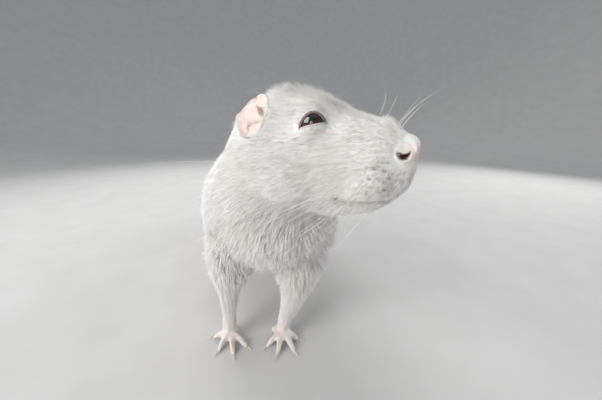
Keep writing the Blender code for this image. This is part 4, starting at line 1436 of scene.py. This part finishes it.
def claw_finish(settings):
    """Pale horn, streaked along, darker pink towards the quick."""

    def build(place):
        streak = place.noise(1500, 3)
        base = streak.clamped(0.35, 0.65).mix(settings.horn, settings.quick)
        rough = 0.25 + 0.2 * streak
        return {"Base Color": base, "Roughness": rough, "Normal": streak.bump(0.0001, 0.5)}

    return finish("horn", {"Specular IOR Level": 0.5}, build)


def whisker_finish():
    """Glassy white hair."""

    def build(place):
        return {"Base Color": place.noise(300, 1).mix(WHISKER_WHITE, WHISKER_GREY)}

    return finish("whisker", {"Roughness": 0.3, "Specular IOR Level": 0.6}, build)


def floor_finish(settings):
    """Matt pale paper, barely mottled."""

    def build(place):
        grain = place.noise(35, 4)
        pale = grain.clamped(0.3, 0.7).mix(settings.floor, settings.floor_light)
        return {"Base Color": pale, "Roughness": 0.75 + 0.1 * grain}

    return finish("floor", {"Specular IOR Level": 0.2}, build)


# ---------------------------------------------------------------- settings
def amount(name, text, value=1.0, **kind):
    """A setting that is a number, by default a share of the usual amount."""
    return bpy.props.FloatProperty(
        name=name, description=text, default=value, **(kind or {"subtype": "FACTOR"})
    )


def watts(name, text, value):
    """The power of a light."""
    return amount(name, text, value, subtype="POWER", unit="POWER")


def tint(name, text, value):
    """A colour."""
    return bpy.props.FloatVectorProperty(
        name=name, description=text, default=value, size=3, subtype="COLOR", min=0.0, max=1.0
    )


class RatSkinSettings(bpy.types.PropertyGroup):
    grid: amount("Grid", "Grid of the merge of the body's parts, in millimetres", 0.55, subtype="NONE")
    triangles: bpy.props.IntProperty(
        name="Triangles", description="Of the skin, before the face is made finer", default=100000
    )
    pink: tint("Bare skin", "Pale skin of ears, feet and tail", (0.86, 0.75, 0.70))
    flush: tint("Flush", "Pinker patches of the bare skin", (0.82, 0.65, 0.59))
    under_coat: tint("Under the coat", "Skin that the coat covers", (0.86, 0.84, 0.81))
    # colour of the painted shade in the nostrils, mouth, folds and lids
    painted_shade_colour: tint("Creases", "Nostrils, mouth and folds", (0.10, 0.045, 0.04))


class RatCoatSettings(bpy.types.PropertyGroup):
    thickness: amount("Thickness", "Share of the usual number of tufts")
    length: amount("Length", "Share of the usual length of the coat")
    white: tint("White", "Main colour of the coat", (0.95, 0.94, 0.92))
    cream: tint("Cream", "Warmer patches of the coat", (0.93, 0.91, 0.87))
    shade: tint("Shade", "Darker tufts", (0.62, 0.60, 0.57))
    # painted shade deep in the coat, at the foot of each tuft
    root: tint("Root", "Foot of each tuft", (0.86, 0.84, 0.81))
    # colour of the painted shade on the hair at the mouth and round the whiskers
    painted_hair_grey: tint("Grey", "Hair at the mouth and round the whiskers", (0.30, 0.27, 0.25))


class RatHairSettings(bpy.types.PropertyGroup):
    length: amount("Length", "Share of the whiskers' usual length")
    width: amount("Width", "Share of the whiskers' usual thickness")


class RatEyeSettings(bpy.types.PropertyGroup):
    iris: tint("Iris", "Ruby of the iris", (0.035, 0.004, 0.005))
    iris_dark: tint("Iris spokes", "Darker spokes of the iris", (0.012, 0.002, 0.002))


class RatClawSettings(bpy.types.PropertyGroup):
    horn: tint("Horn", "Pale horn of the claws", (0.80, 0.72, 0.62))
    quick: tint("Quick", "Pinker streaks of the claws", (0.70, 0.52, 0.45))


class RatStageSettings(bpy.types.PropertyGroup):
    floor: tint("Floor", "Colour of the floor", (0.58, 0.57, 0.56))
    floor_light: tint("Floor, light", "Lighter mottling of the floor", (0.62, 0.61, 0.60))
    key: watts("Key light", "Power of the main light", 2.85)
    fill: watts("Fill light", "Power of the fill", 0.36)
    side: watts("Side light", "Power of the light on the left", 1.5)
    rim: watts("Rim light", "Power of the light behind", 2.6)
    lens: amount("Lens", "Focal length in millimetres", 14.0, unit="CAMERA")


# ---------------------------------------------------------------- operators
STORE = {}  # what the skin's operator leaves for the coat and the whiskers


def finished(piece, material):
    """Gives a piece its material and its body."""
    piece.data.materials.append(material)
    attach(piece, "root")


class RAT_OT_skin(bpy.types.Operator):
    """Make the skin with its lids, ears, lips and tail rings"""

    bl_idname = "rat.skin"
    bl_label = "Skin"

    def execute(self, context):
        settings = context.scene.rat_skin
        points, triangles, values, directions = whole_skin(settings)
        bare = np.ones((len(points), 4))
        bare[:, 0] = values[:, BARE]
        # the third number of the attribute skin is the painted shade of folds, openings and lids
        bare[:, 1], bare[:, 2] = tail_rings(points), painted_skin_shade(points)
        skin = new_piece("skin", points, triangles, colours={"skin": bare})

        # the coat and the map's corners go by the mesh's own triangles
        triangles = np.empty(len(skin.data.loops), np.int32)
        skin.data.loops.foreach_get("vertex_index", triangles)
        triangles = triangles.reshape(-1, 3)
        corners = unwrapped(skin)
        skin.data.uv_layers.active.name = "SkinMap"
        finished(skin, skin_finish(settings))
        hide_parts(*FLESH)
        normals = point_normals(points, triangles)
        STORE["skin"] = (points, triangles, values, directions, normals, corners)
        return {"FINISHED"}


class RAT_OT_coat(bpy.types.Operator):
    """Cover the skin with the coat's tufts"""

    bl_idname = "rat.coat"
    bl_label = "Coat"

    def execute(self, context):
        settings = context.scene.rat_coat
        material = coat_finish(settings)
        for piece in coat_pieces(STORE["skin"], settings):
            finished(piece, material)
        return {"FINISHED"}


class RAT_OT_whiskers(bpy.types.Operator):
    """Grow the whiskers and the long single hairs of the head"""

    bl_idname = "rat.whiskers"
    bl_label = "Whiskers"

    def execute(self, context):
        points = STORE["skin"][0]
        places = head_places(points)
        pad = points[(places[:, 0] > 3) & (places[:, 0] < 20) & (places[:, 2] < 0)]
        lines, radii = whisker_lines(pad, context.scene.rat_hair)
        finished(tubes("whiskers", lines, radii), whisker_finish())
        return {"FINISHED"}


class RAT_OT_eyes(bpy.types.Operator):
    """Make both eyes"""

    bl_idname = "rat.eyes"
    bl_label = "Eyes"

    def execute(self, context):
        material = eye_finish(context.scene.rat_eye)
        for side, name in ((-1, "right"), (1, "left")):
            piece = eyeball(side, f"eyeball_{name}")
            finished(piece, material)
            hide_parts(f"eye_{name}")
        return {"FINISHED"}


class RAT_OT_claws(bpy.types.Operator):
    """Round off the frame's claws and give them their horn"""

    bl_idname = "rat.claws"
    bl_label = "Claws"

    def execute(self, context):
        material = claw_finish(context.scene.rat_claw)
        for name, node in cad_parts.items():
            if not name.startswith("claw"):
                continue
            node.modifiers.new("weld", "WELD").merge_threshold = WELD
            rounder = node.modifiers.new("rounder", "SUBSURF")
            rounder.levels = rounder.render_levels = 2
            for place in node.material_slots:
                place.material = material
        return {"FINISHED"}


def looking(data, place, way):
    """A light or camera at a place in millimetres, looking this way."""
    made = linked(data.name, data)
    made.location = place * MM
    made.rotation_euler = Vector(way).to_track_quat("-Z", "Y").to_euler()
    return made


CAMERA_FROM_EYE = (-15.82, -60.23, -2.27)  # from the middle of the right eye
CAMERA_TURN = math.radians(12.0)  # to the rat's left of +Y
CAMERA_DROP = math.radians(16.0)
WALL_RADIUS = 1700.0
WALL_HEIGHT = 1500.0
FLOOR_FLAT = 0.4  # share of the radius where the floor starts to curve up
FLOOR_RINGS, FLOOR_SIDES = 60, 96
AIM_FROM_EYE = (0, 10, -20)  # the lights' aim
# Square lights: place from the aim, shift of the aim, size
LIGHTS = {
    "key": ((-530, -190, 250), (0, 0, 0), 420),
    "side": ((560, 260, 260), (0, 120, 0), 420),
    "fill": ((-240, -480, 40), (0, 0, -30), 200),
    "rim": ((-160, 560, 460), (0, 0, 0), 360),
}
SKY = (0.9, 0.95, 1.0, 1.0)
SKY_STRENGTH = 0.5


class RAT_OT_stage(bpy.types.Operator):
    """Set the camera, a pale floor that curves up into a wall, and soft lights"""

    bl_idname = "rat.stage"
    bl_label = "Stage"

    def execute(self, context):
        settings = context.scene.rat_stage
        eye = middle("eye_right")
        camera = bpy.data.cameras.new("camera")
        camera.lens = settings.lens
        camera.sensor_width = 36.0
        camera.clip_start = 0.001
        camera.clip_end = 20.0
        place = eye + np.array(CAMERA_FROM_EYE)
        context.scene.camera = looking(camera, place, way_at(CAMERA_TURN, -CAMERA_DROP))

        # the floor: out to a share of the radius it is flat, then it curves up
        radius = np.concatenate([[1.0], np.linspace(40, WALL_RADIUS, FLOOR_RINGS)])[:, None]
        turn = once_round(FLOOR_SIDES)[None]
        beyond = np.clip(radius / WALL_RADIUS - FLOOR_FLAT, 0, None) / (1 - FLOOR_FLAT)
        rise = WALL_HEIGHT * beyond**2.4
        points = np.stack([radius * np.cos(turn), radius * np.sin(turn), rise + 0 * turn], -1)
        floor = new_piece("floor", points.reshape(-1, 3), grid_triangles(*points.shape[:2]))
        floor.data.materials.append(floor_finish(settings))

        for name, (place, shift, size) in LIGHTS.items():
            light = bpy.data.lights.new(name, "AREA")
            light.size = size * MM
            light.energy = getattr(settings, name)
            aim = eye + np.array(AIM_FROM_EYE)
            looking(light, aim + np.array(place), np.array(shift) - np.array(place, float))
        world = bpy.data.worlds.new("studio")
        world.use_nodes = True
        sky = world.node_tree.nodes["Background"].inputs
        sky["Color"].default_value, sky["Strength"].default_value = SKY, SKY_STRENGTH
        context.scene.world = world
        context.scene.view_settings.view_transform = "Standard"
        return {"FINISHED"}


class RAT_PT_panel(bpy.types.Panel):
    """The rat's settings and the buttons that make its pieces"""

    bl_idname = "RAT_PT_panel"
    bl_label = "White Pet Rat"
    bl_space_type = "VIEW_3D"
    bl_region_type = "UI"
    bl_category = "Rat"

    def draw(self, context):
        for name, (_, operator) in PIECES.items():
            box = self.layout.box()
            settings = getattr(context.scene, name)
            for key in settings.__annotations__:
                box.prop(settings, key)
            box.operator(operator.bl_idname)


PIECES = {
    "rat_skin": (RatSkinSettings, RAT_OT_skin),
    "rat_coat": (RatCoatSettings, RAT_OT_coat),
    "rat_hair": (RatHairSettings, RAT_OT_whiskers),
    "rat_eye": (RatEyeSettings, RAT_OT_eyes),
    "rat_claw": (RatClawSettings, RAT_OT_claws),
    "rat_stage": (RatStageSettings, RAT_OT_stage),
}
CLASSES = (*(kind for pair in PIECES.values() for kind in pair), RAT_PT_panel)


def register():
    for kind in CLASSES:
        bpy.utils.register_class(kind)
    for name, (group, _) in PIECES.items():
        setattr(bpy.types.Scene, name, bpy.props.PointerProperty(type=group))


def unregister():
    for name in PIECES:
        delattr(bpy.types.Scene, name)
    for kind in reversed(CLASSES):
        bpy.utils.unregister_class(kind)


def main():
    register()
    bpy.ops.rat.skin()
    bpy.ops.rat.coat()
    bpy.ops.rat.whiskers()
    bpy.ops.rat.eyes()
    bpy.ops.rat.claws()
    bpy.ops.rat.stage()


if __name__ == "__main__":
    main()
